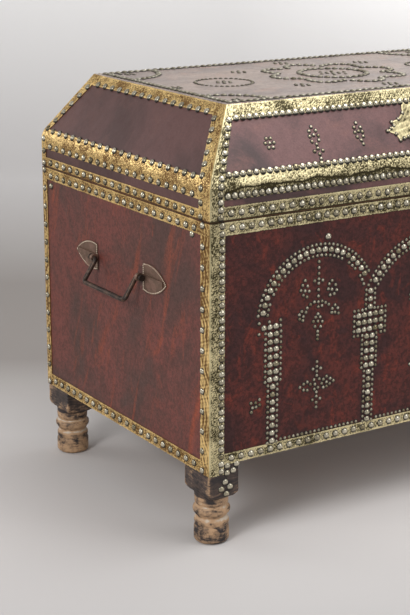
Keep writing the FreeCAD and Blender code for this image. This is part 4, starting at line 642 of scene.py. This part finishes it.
rim_low, rim_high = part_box("rim_strips")
base_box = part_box("base_strips")
front_base_low = 133 * mm
base_heights = {
    "front": (front_base_low, front_base_low + 17.5 * mm), "end": (base_box[0].z, base_box[0].z + 20.5 * mm),
}
rim_heights = dict.fromkeys(("front", "end"), (rim_low.z, rim_high.z - 0.3 * mm))
for node, heights, seed in (("rim_strips", rim_heights, 100), ("base_strips", base_heights, 120)):
    makers = []
    for number, (name, (kind, out)) in enumerate(SIDES.items()):
        reach = half_width[other(kind)] - 1.5 * mm
        makers.append(flat_strip(name, *heights[kind], reach, seed + number))
    strips(node + "_embossed", makers, "carcass", [node])


def corner_angle(node, sign_x, sign_y, seed):
    """An angle strip up a corner: across runs from the end leg's edge, round the corner and out along the
    other leg. Near the fold the normal turns smoothly from one wall's to the other's."""
    low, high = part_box(node)
    leg_x, leg_y = high.x - low.x, high.y - low.y
    across = np.linspace(-leg_y, leg_x, int((leg_x + leg_y) / strip_pitch) + 3)[:, None]
    height = np.linspace(low.z, high.z, int((high.z - low.z) / strip_pitch))[None, :]
    across, height = np.broadcast_arrays(across, height)
    halves = np.full(height.shape, half_length), np.full(height.shape, half_depth)
    signs, leans, legs = (sign_x, sign_y), (0, 0), (leg_x, leg_y)
    return folded(across, height, height, halves, leans, legs, signs, seed, drawn_lines)


def folded(across, along, height, halves, leans, legs, signs, seed, end_pattern=foliage):
    """A strip folded over an edge of two faces. across below zero lies on the end face, above zero on the
    long face. The fold is rounded: the normal is the share-weighted mean of both faces' normals, made unit
    again."""
    (half_x, half_y), (lean_x, lean_y), (leg_x, leg_y), (sign_x, sign_y) = halves, leans, legs, signs
    share = np.clip(across / (1.8 * mm) * 0.5 + 0.5, 0, 1)
    x = sign_x * (half_x - np.maximum(across, 0))
    y = sign_y * (half_y - np.maximum(-across, 0))
    end_normal = np.stack([sign_x * np.cos(lean_x) + 0 * x, 0 * x, np.sin(lean_x) + 0 * x], axis=-1)
    long_normal = np.stack([0 * x, sign_y * np.cos(lean_y) + 0 * x, np.sin(lean_y) + 0 * x], axis=-1)
    normal = end_normal * (1 - share)[..., None] + long_normal * share[..., None]
    normal /= np.linalg.norm(normal, axis=-1, keepdims=True)
    fold = np.exp(-(across / fold_width) ** 2)
    long_relief = foliage(along, across, leg_x, seed)
    end_relief = end_pattern(along, across + leg_y, leg_y, seed + 1)
    relief = np.where(across > 0, long_relief, end_relief) * (1 - fold) + 0.35 * fold
    base = np.stack([x, y, height], axis=-1)
    outer = base + normal * (0.35 * mm - 0.25 * mm * fold + relief_height * relief)[..., None]
    inner = base + normal * sheet_inner
    return shell(outer, inner), np.concatenate([relief.ravel(), np.full(relief.size, -1.0)])


CORNERS = {"front_left": (-1, -1), "front_right": (1, -1), "back_left": (-1, 1), "back_right": (1, 1)}
for number, (corner, (sign_x, sign_y)) in enumerate(CORNERS.items()):
    node = "corner_strip_" + corner
    strips(node + "_embossed", [corner_angle(node, sign_x, sign_y, 140 + 2 * number)], "carcass", [node])

# %% [markdown]
# ## Strips that bend over the lid
# The edge strip is flat, the knee strip bends over the knee, and the top strip lies on the slope. The hip
# strips run down the four hips. Their fold follows the line where two neighbouring slopes meet, so its
# place comes from both sections at the same height.

# %% Strips on the lid


def lid_strip(name, low, high, seed, lit_share=None):
    """A strip between two heights of a lid side, raised along the section's normal by the foliage. With a
    lit share, the strip above a wavy line at that share is painted brighter and the part below stands 0.35 mm
    lower and is painted darker: painted light on the upper part and painted shade on the lower, with a
    painted shadow as a dark line just under the wavy line."""
    u, travel = lid_grid(name, low, high, 4 * mm, strip_pitch)
    across = travel - travel[0, 0]
    width = travel[0, -1] - travel[0, 0]
    relief = foliage(u, across, width, seed)
    proud, mark = relief_height * relief, relief
    if lit_share:
        # Painted light above the wavy line, painted shade below it, and a painted shadow just under it.
        beyond = across - lit_share * width - waves(u, 0 * across, seed + 5, 130 * mm, 2.6 * mm)
        sheet = np.clip(beyond / (1.2 * mm) + 0.5, 0, 1)
        mark = relief + 0.55 * sheet - 0.35 - 1.3 * np.exp(-((beyond + 1.6 * mm) / (1.1 * mm)) ** 2)
        proud = proud + 0.35 * mm * (sheet - 1)
    outer = lid_face(name, u, travel, proud)
    inner = lid_face(name, u, travel, np.full(u.shape, sheet_inner))
    return shell(outer, inner), np.concatenate([mark.ravel(), np.full(mark.size, -1.0)])


def lid_strips(node, front_range, end_range, seed, lit_share=None):
    makers = []
    for number, (name, (kind, out)) in enumerate(SIDES.items()):
        low, high = front_range if kind == "front" else end_range
        makers.append(lid_strip(name, low, high, seed + number, lit_share if kind == "front" else None))
    return strips(node + "_embossed", makers, "lid", [node])


edge_low, knee_low = seam + 0.3 * mm, knee_height - 26 * mm
lid_strips("lid_edge_strips", (edge_low, seam + 20.5 * mm), (edge_low, seam + 15.5 * mm), 200)
lid_strips("lid_knee_strips", (knee_low, knee_height + 11 * mm), (knee_low, knee_height + 7 * mm), 210, 0.42)
lid_strips("lid_top_strips", (lid_top - 20.5 * mm, lid_top), (lid_top - 16 * mm, lid_top), 220)


def hip_strip(sign_x, sign_y, seed):
    """A strip down a hip: rows are heights, evenly travelled, and its legs widen or narrow up the slope."""
    steps = np.linspace(0, travel_to("front", np.array([lid_top]))[0], 110)
    height = section("front", steps)[1]
    rise = np.clip((height - knee_height) / (lid_top - knee_height), 0, 1)
    leg_x = (24 + (12.5 - 24) * rise) * mm
    leg_y = (29 + 0 * rise) * mm if sign_y < 0 else (14 + (24 - 14) * rise) * mm
    half_x, _, lean_x = section("end", travel_to("end", height))
    half_y, _, lean_y = section("front", steps)
    share = np.linspace(-1, 1, 44)[:, None]
    across = np.where(share < 0, share * leg_y, share * leg_x)
    rows = (steps, height, half_x, half_y, lean_x, lean_y, leg_x, leg_y)
    grids = [np.broadcast_to(row, across.shape) for row in rows]
    steps, height, halves, leans, legs = *grids[:2], grids[2:4], grids[4:6], grids[6:]
    return folded(across, steps, height, halves, leans, legs, (sign_x, sign_y), seed)


hips = [hip_strip(*signs, 240 + 2 * number) for number, signs in enumerate(CORNERS.values())]
strips("lid_hip_strips_embossed", hips, "lid", ["lid_hip_strips"])

# %% [markdown]
# ## Nails, one dome at a time
# Thousands of nails could be instances of one mesh, but then all would be alike. Here each solid nail is
# found in its node as a connected clump of points. Its shank gives the direction, so a new dome can be set
# in the same place: a few dozen faces, leaning and tinted slightly at random, with a dark ring under it that
# is partly soiling and partly painted shade, and painted shade on its lower side.

# %% Find the nails and set new domes


def clumps(mesh):
    """Splits a mesh into its connected clumps: points at one place are made one, then each point takes the
    lowest label among its triangle's corners, again and again, until nothing changes."""
    cells = np.round(mesh_points(mesh) / 2e-6).astype(np.int64)
    unique, number = np.unique(cells, axis=0, return_inverse=True)
    number = number.ravel()
    corners = np.zeros(len(mesh.loops), np.int32)
    mesh.loops.foreach_get("vertex_index", corners)
    triangles = number[corners].reshape(-1, 3)
    label = np.arange(len(unique))
    while True:
        lowest = label[triangles].min(axis=1)
        fresh = label.copy()
        for side in range(3):
            np.minimum.at(fresh, triangles[:, side], lowest)
        fresh = fresh[fresh]
        if np.array_equal(fresh, label):
            break
        label = fresh
    order = np.argsort(label, kind="stable")
    bounds = np.flatnonzero(np.diff(label[order])) + 1
    return np.split(unique[order] * 2e-6, bounds)


def nail_spots(node):
    """Foot, direction and radius of each nail in a node: the direction runs from the shank's tip to the
    middle of all its points, and the foot is a shank's length up from the tip."""
    spots = []
    for points in clumps(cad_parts[node].data):
        middle = points.mean(axis=0)
        away = np.linalg.norm(points - middle, axis=1)
        tip = points[away > away.max() - 0.6 * mm].mean(axis=0)
        direction = (middle - tip) / np.linalg.norm(middle - tip)
        rise = (points - tip) @ direction
        side = np.linalg.norm(points - tip - rise[:, None] * direction, axis=1)
        large = bool(side.max() > 4 * mm)
        spots.append((tip + direction * (13 if large else 9) * mm, direction, large))
    return spots


DOME_SIZES = {True: (5.3 * mm, 3.4 * mm, 14), False: (2.95 * mm, 1.95 * mm, 8)}
DOME_RINGS = np.array(
    [(1.05, -0.12), (1.07, 0.03), (1.0, 0.12), (0.93, 0.42), (0.74, 0.72), (0.45, 0.92), (0.18, 0.99)]
)


def domes(node, body, seed):
    """All nails of a node as one mesh. A dome is rings of points: outward by the ring's radius, up by its
    height. The grime_and_shade mark darkens the ring round the foot, partly soiling and partly painted shade,
    the lower side, as painted shade and a painted dark reflection, and the nails that face up, as painted
    shade and a painted dark reflection too."""
    spots = nail_spots(node)
    lots = np.random.default_rng(seed)
    parts, tones, grime_and_shade_rows = [], [], []
    for foot, direction, large in spots:
        radius, rise, sides = DOME_SIZES[large]
        radius *= lots.uniform(0.965, 1.02)
        rise *= lots.uniform(0.9, 0.985)
        direction = direction + lots.normal(0, 0.035, 3)
        direction /= np.linalg.norm(direction)
        first = np.cross(direction, (0.31, 0.87, 0.38))
        first /= np.linalg.norm(first)
        second = np.cross(direction, first)
        rings = DOME_RINGS
        # Painted shade: the dark ring round each foot is partly soiling and partly painted contact shade.
        grime_and_shade = np.array([1, 1, 1, 0.7, 0.15, 0, 0]) if large else np.array([1, 1, 1, 0.8, 0.4, 0.1, 0])
        if not large:
            rings, grime_and_shade = rings[[0, 1, 2, 3, 4, 6]], grime_and_shade[[0, 1, 2, 3, 4, 6]]
            rings[:2, 0] = 1.3
        angle = np.arange(sides) * 2 * math.pi / sides
        ring = np.cos(angle)[:, None] * first + np.sin(angle)[:, None] * second
        above = (rings[:, 1] * rise)[:, None, None] * direction
        points = foot + rings[:, 0, None, None] * radius * ring + above
        parts += ring_stack(points)
        # Painted shade and a painted dark reflection on the lower side of each dome.
        below = np.clip(-ring[None, :, 2] * rings[:, :1] * 1.6, 0, 0.97)
        tones.append(np.full(len(rings) * sides, lots.beta(2.4, 1.6) * (1 if large else 0.7)))
        # Painted shade and a painted dark reflection on the nails that face up.
        facing_up_shade = 0.5 if direction[2] > 0.8 else 0
        grime_and_shade_rows.append(np.maximum(grime_and_shade[:, None], below + facing_up_shade).ravel())
    marks = {"tone": tones, "grime_and_shade": grime_and_shade_rows}
    return build(node.replace("_nails", "_domes"), parts, body, [node], brass_nail, 60, marks)


NAIL_NODES = (
    "front_large_nails", "front_small_nails", "left_nails", "right_nails", "back_nails",
    "lid_front_large_nails", "lid_side_nails", "lid_small_nails", "lid_top_large_nails",
)
for number, node in enumerate(NAIL_NODES):
    domes(node, "lid" if node.startswith("lid") else "carcass", 300 + number)

# %% [markdown]
# ## Beads along the handle plates
# A rim of beads is punched along each leaf-shaped plate. A path could be drawn by hand, but the plate's own
# edge is there already: its outermost points, sorted by angle, give the outline, and the beads stand a
# little inside it at even steps along the line.

# %% Beaded rims


def beaded_rims(node, body, sign):
    """Half-round beads in one mesh. Each is rings of points like a nail's dome, three rings and a pole
    cap."""
    parts = []
    for points in clumps(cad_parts[node].data):
        reach = points[:, 0] * sign
        edge = points[reach > reach.max() - 0.3 * mm]
        middle = edge[:, 1:].min(axis=0) * 0.5 + edge[:, 1:].max(axis=0) * 0.5
        away = edge[:, 1:] - middle
        away = away[np.argsort(np.arctan2(away[:, 1], away[:, 0]))]
        away *= (1 - 1.9 * mm / np.linalg.norm(away, axis=1))[:, None]
        closed = np.concatenate([away, away[:1]])
        travelled = np.concatenate([[0], np.cumsum(np.linalg.norm(np.diff(closed, axis=0), axis=1))])
        stops = np.linspace(0, travelled[-1], int(travelled[-1] / (3.1 * mm)), endpoint=False)
        y, z = (np.interp(stops, travelled, closed[:, k]) + middle[k] for k in (0, 1))
        angle = np.arange(8) * 2 * math.pi / 8
        rings = np.array([(1.15, -0.2), (1.0, 0.3), (0.6, 0.8), (0.2, 1.0)]) * 1.05 * mm
        for spot in zip(y, z):
            level = sign * (reach.max() + rings[:, 1] * 0.7)[:, None] + 0 * angle
            across = spot[0] + rings[:, :1] * np.cos(angle)
            rise = spot[1] + rings[:, :1] * np.sin(angle) * sign
            parts += ring_stack(np.stack([level, across, rise], axis=-1))
    return build(node + "_beads", parts, body, [], bead_iron, 60)


beaded_rims("handle_plates_left", "carcass", -1)
beaded_rims("handle_plates_right", "carcass", 1)

# %% [markdown]
# ## Star plate
# The hasp's plate is cut from the same sheet as the strips, to a pointed outline, and embossed. Its outline
# is measured from the solid. Seen from its middle, every point of it is visible, so polar coordinates fit:
# an angle, and a share of the way out to the outline at that angle.

# %% Star plate with relief


def star_piece():
    """Polar grid: at each angle the outline's distance comes from the solid's edge points, and rings lie at
    shares of it. They run from the underside's middle out to the rim, then over the face to its middle."""
    places = np.unique(np.round(mesh_points(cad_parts["star_plate"].data), 6), axis=0)
    turn = lean["front"]
    up = np.array((0, math.sin(turn), math.cos(turn)))
    normal = np.array((0, -math.cos(turn), math.sin(turn)))
    height = places @ normal
    edge = places[height > height.max() - 0.2 * mm]
    middle = up * (edge @ up).mean() + normal * height.max()
    across, rise = edge[:, 0], (edge - middle) @ up
    angle = np.arctan2(rise, across)
    order = np.argsort(angle)
    angle, distance = angle[order], np.hypot(across, rise)[order]
    turns = np.linspace(-math.pi, math.pi, 241)
    corners = np.interp(turns, angle, distance, period=2 * math.pi)
    share = np.linspace(0.02, 1, 34)
    reach = share[:, None] * corners[None, :]
    x, y = reach * np.cos(turns), reach * np.sin(turns)
    petals = np.cos(8 * turns + 5 * share[:, None]) * np.clip(1.25 - share[:, None], 0, 1)
    veins = 0.2 * np.sin(2 * math.pi * reach / (5.2 * mm) + 2 * np.sin(6 * turns))
    veins = veins + waves(x, y, 9, 10 * mm, 0.35)
    edge_line = np.exp(-((corners[None, :] - reach - 2.2 * mm) / (1.0 * mm)) ** 2)
    relief = np.clip(0.15 + 0.45 * petals + veins + 1.1 * edge_line, -1.2, 1.4) / 1.4
    relief *= np.clip(share / 0.08, 0, 1)[:, None]
    relief[:, -1] = relief[:, 0]
    flat = middle + x[..., None] * np.array((1.0, 0, 0)) + y[..., None] * up
    outer = flat + normal * (0.45 * mm * relief)[..., None]
    inner = flat - normal * 0.9 * mm
    rings = np.concatenate([inner, outer[::-1]])[:, :-1]
    marks = np.concatenate([np.full(relief.shape, -1.0), relief[::-1]])[:, :-1]
    return ring_stack(rings), marks.ravel()


parts, relief = star_piece()
marks = {"relief": [relief], "lit_end": [np.zeros(relief.size)]}
build("star_plate_embossed", parts, "lid", ["star_plate"], brass_strip, 55, marks)

# %% [markdown]
# ## Turned feet
# A foot could be a plain lathe form, but real ones have worn rings and knocked blocks. The solid's own
# shape is copied and remeshed evenly, then every point moves by small waves, and the rings' outermost
# wood is marked as worn, so that its finish is paler there. Two pale bands up the turned part are partly
# rubbed wood and partly a painted highlight on its rings.

# %% Feet


def foot(node):
    """A copy of the solid, its doubles merged, remeshed in small even cells, then roughened and marked as
    worn where it stands out furthest from its axis. Two pale bands up the turned part are marked too: partly
    rubbed wood and partly a painted highlight on the rings."""
    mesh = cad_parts[node].data.copy()
    piece = bpy.data.objects.new(node + "_turned", mesh)
    bpy.context.scene.collection.objects.link(piece)
    weld = piece.modifiers.new("weld", "WELD")
    weld.merge_threshold = 0.02 * mm
    remesh = piece.modifiers.new("remesh", "REMESH")
    remesh.mode = "VOXEL"
    remesh.voxel_size = 1.5 * mm
    bpy.context.view_layer.update()
    fresh = bpy.data.meshes.new_from_object(piece.evaluated_get(bpy.context.evaluated_depsgraph_get()))
    piece.modifiers.clear()
    piece.data = fresh
    count = len(fresh.vertices)
    normals = np.zeros(count * 3, np.float32)
    fresh.vertices.foreach_get("normal", normals)
    places, normals = mesh_points(fresh).astype(float), normals.reshape(-1, 3)
    low, high = places.min(axis=0), places.max(axis=0)
    sole = places[places[:, 2] < low[2] + 4 * mm]
    axis = (sole.min(axis=0) + sole.max(axis=0)) / 2
    out = np.hypot(places[:, 0] - axis[0], places[:, 1] - axis[1])
    turned = places[:, 2] < 75 * mm
    knocks = waves(places[:, 0] + places[:, 1], places[:, 2], 400 + len(node), 0.05, 0.22 * mm)
    knocks += waves(places[:, 0] - places[:, 1], places[:, 2] * 0.3, 420 + len(node), 0.012, 0.12 * mm)
    inside = np.minimum(places - low, high - places).min(axis=1) < 0.6 * mm
    knocks = np.where(inside, np.minimum(knocks, 0), knocks)
    places += normals * knocks[:, None]
    fresh.vertices.foreach_set("co", places.astype(np.float32).ravel())
    fresh.update()
    fresh.shade_smooth()
    gap = np.minimum(places - low, high - places)[:, :2]
    edge = np.exp(-(gap.max(axis=1) / (4 * mm)) ** 2)
    worn = np.where(turned, np.clip((out - 19 * mm) / (9 * mm), 0, 0.62), 0.1 + 0.6 * edge)
    # Pale bands at two heights: partly rubbed wood and partly a painted highlight on the rings.
    bands = 0.8 * np.exp(-((places[:, 2] - 40 * mm) / (3.2 * mm)) ** 2)
    bands = bands + 0.6 * np.exp(-((places[:, 2] - 60 * mm) / (1.8 * mm)) ** 2)
    worn = worn + turned * bands
    layer = fresh.attributes.new("worn", "FLOAT", "POINT")
    layer.data.foreach_set("value", worn.astype(np.float32))
    fresh.materials.clear()
    fresh.materials.append(foot_wood)
    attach(piece, "carcass")
    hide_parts(node)
    print("%s: %d points" % (piece.name, count))


for corner in CORNERS:
    foot("foot_" + corner)

# %% [markdown]
# ## The solids that stay
# Boards, hinges, the hasp and the bails are already the right shape, so they keep their meshes and only
# change their finish. Assigning a material to a slot leaves the mesh as it is.

# %% Finishes for the rest
for name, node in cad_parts.items():
    if node.hide_render:
        continue
    finish = iron_dark
    if "board" in name or "rail" in name or "slope" in name:
        finish = board_wood
    elif "lock_plate" in name:
        finish = brass_strip
    elif "handle_plates" in name or "handle_eyes" in name:
        finish = plate_iron
    node.data.materials.clear()
    node.data.materials.append(finish)
    print("%s keeps its mesh, finish %s" % (name, finish.name))

# %% [markdown]
# ## Floor, backdrop and light
# A studio sweep is a pale floor that curves up into a wall, so no horizon line shows. Soft light comes from a
# wide overhead box and one on the left. Two weak ones, in front and far left, mostly show as the bright spot
# on each dome, and the world fills the shadows.

# %% Studio


def sweep():
    """A sheet that runs flat to the back, then curves up: its section is a line, a quarter circle and a
    line."""
    angle = np.linspace(0, math.pi / 2, 24)
    back, radius = 2.6, 1.2
    flat = np.linspace(-4.5, back, 40)[:-1]
    rise = np.linspace(radius, 4.5, 20)[1:]
    along = np.concatenate([flat, back + radius * np.sin(angle), np.full(len(rise), back + radius)])
    height = np.concatenate([np.zeros(len(flat)), radius * (1 - np.cos(angle)), rise])
    side = np.linspace(-5, 5, 30)
    forward = np.array((math.sin(view_yaw), math.cos(view_yaw), 0))
    across = np.array((math.cos(view_yaw), -math.sin(view_yaw), 0))
    points = along[:, None, None] * forward + side[None, :, None] * across
    points = points + height[:, None, None] * UP
    mesh = bpy.data.meshes.new("studio_sweep")
    index = np.arange(len(along) * len(side)).reshape(len(along), len(side))
    mesh.from_pydata(points.reshape(-1, 3).tolist(), [], grid_faces(index)[:, ::-1].tolist())
    mesh.shade_smooth()
    piece = bpy.data.objects.new("studio_sweep", mesh)
    bpy.context.scene.collection.objects.link(piece)
    mesh.materials.append(backdrop(Finish("studio_paper")))


def backdrop(paper):
    """Pale paper with painted light and shade on it: darker nearest the camera, lighter round and under the
    chest as painted light against its shadow, greyer a metre further back than the chest as painted shade,
    and lighter up the wall, where a faint glow that grows to the right is seen by the camera and in mirroring
    metal, and lights nothing."""
    near, lifted_under_chest, shade_behind_chest, foot_of_wall, high_wall = linear(
        (180, 177, 176), (206, 202, 200), (144, 138, 134), (214, 211, 210), (252, 250, 249)
    )
    parts = paper.node("SeparateXYZ", Vector=paper.stretched((1, 1, 1), (0, 0, -view_yaw)))
    rightward, depth, height = (parts.outputs[key] for key in "XYZ")
    # Painted light: the floor is lighter round and under the chest, against the chest's shadow, and darker
    # nearest the camera.
    shade = paper.blend(paper.span(depth, -0.75, -0.35), near, lifted_under_chest)
    # Painted shade on the floor further back from the chest.
    shade = paper.blend(paper.span(depth, 0.05, 0.5), shade, shade_behind_chest)
    shade = paper.blend(paper.span(depth, 1.1, 2.4), shade, foot_of_wall)
    shade = paper.blend(paper.span(height, 0, 0.5), shade, high_wall)
    rays = paper.node("LightPath").outputs
    sight = paper.sums("MAXIMUM", rays["Is Camera Ray"], rays["Is Glossy Ray"])
    glow = paper.sums("MULTIPLY", paper.span(height, 0.05, 0.7), paper.span(rightward, -0.1, 0.7, 0.08, 0.5))
    return paper.give(
        Base_Color=shade,
        Roughness=0.9,
        Emission_Color=(1.0, 0.99, 0.98),
        Emission_Strength=paper.sums("MULTIPLY", sight, glow),
    )


def lamp(name, spot, aim, size, power):
    """A square soft light that looks at a point."""
    light = bpy.data.lights.new(name, "AREA")
    light.shape = "RECTANGLE"
    light.size, light.size_y = size
    light.energy = power
    item = bpy.data.objects.new(name, light)
    item.location = spot
    item.rotation_euler = (Vector(aim) - Vector(spot)).to_track_quat("-Z", "Y").to_euler()
    item.visible_camera = False
    bpy.context.scene.collection.objects.link(item)


sweep()
lamp("overhead_box", (0.8, -0.5, 2.7), (0, 0, 0.4), (2.2, 1.9), 50)
lamp("left_box", (-2.8, -1.2, 1.7), (-0.2, 0, 0.3), (0.8, 1.0), 44)
lamp("front_box", (1.0, -2.1, 1.3), (0, -0.2, 0.4), (1.2, 1.0), 10)
lamp("far_left_box", (-1.9, 1.9, 1.0), (-0.3, 0, 0.4), (1.0, 0.9), 9)
world = bpy.data.worlds.new("soft_room")
bpy.context.scene.world = world
world.use_nodes = True
nodes = world.node_tree.nodes
nodes["Background"].inputs["Strength"].default_value = 0.46
nodes["Background"].inputs["Color"].default_value = (1, 1, 1, 1)
print("lamps: 4, world: soft_room")

# %% [markdown]
# ## The camera
# The picture was solved as a view of a box, which gives the eye's place, where it looks and how long the
# lens is. A camera could be tried out by hand, but a solved one needs no guessing.

# %% Camera
yaw, pitch, roll = view_yaw, -0.2788, 0.0021
sensor_height, focal_pixels, picture_height = 36, 1560.98, 615
ahead = Vector((math.sin(yaw) * math.cos(pitch), math.cos(yaw) * math.cos(pitch), math.sin(pitch)))
right = Vector((math.cos(yaw), -math.sin(yaw), 0))
above = right.cross(ahead)
turn = math.cos(roll), math.sin(roll)
right, above = right * turn[0] + above * turn[1], above * turn[0] - right * turn[1]
lens = bpy.data.cameras.new("picture_camera")
lens.sensor_fit = "VERTICAL"
lens.sensor_height = sensor_height
lens.lens = sensor_height * focal_pixels / picture_height
lens.clip_end = 50
camera = bpy.data.objects.new("picture_camera", lens)
axes_of_camera = Matrix((right, above, -ahead)).transposed().to_4x4()
camera.matrix_world = Matrix.Translation((-1.5777, -2.0738, 0.99835)) @ axes_of_camera
bpy.context.scene.collection.objects.link(camera)
bpy.context.scene.camera = camera
bpy.context.scene.view_settings.view_transform = "Standard"
print("lens %.1f mm" % lens.lens)
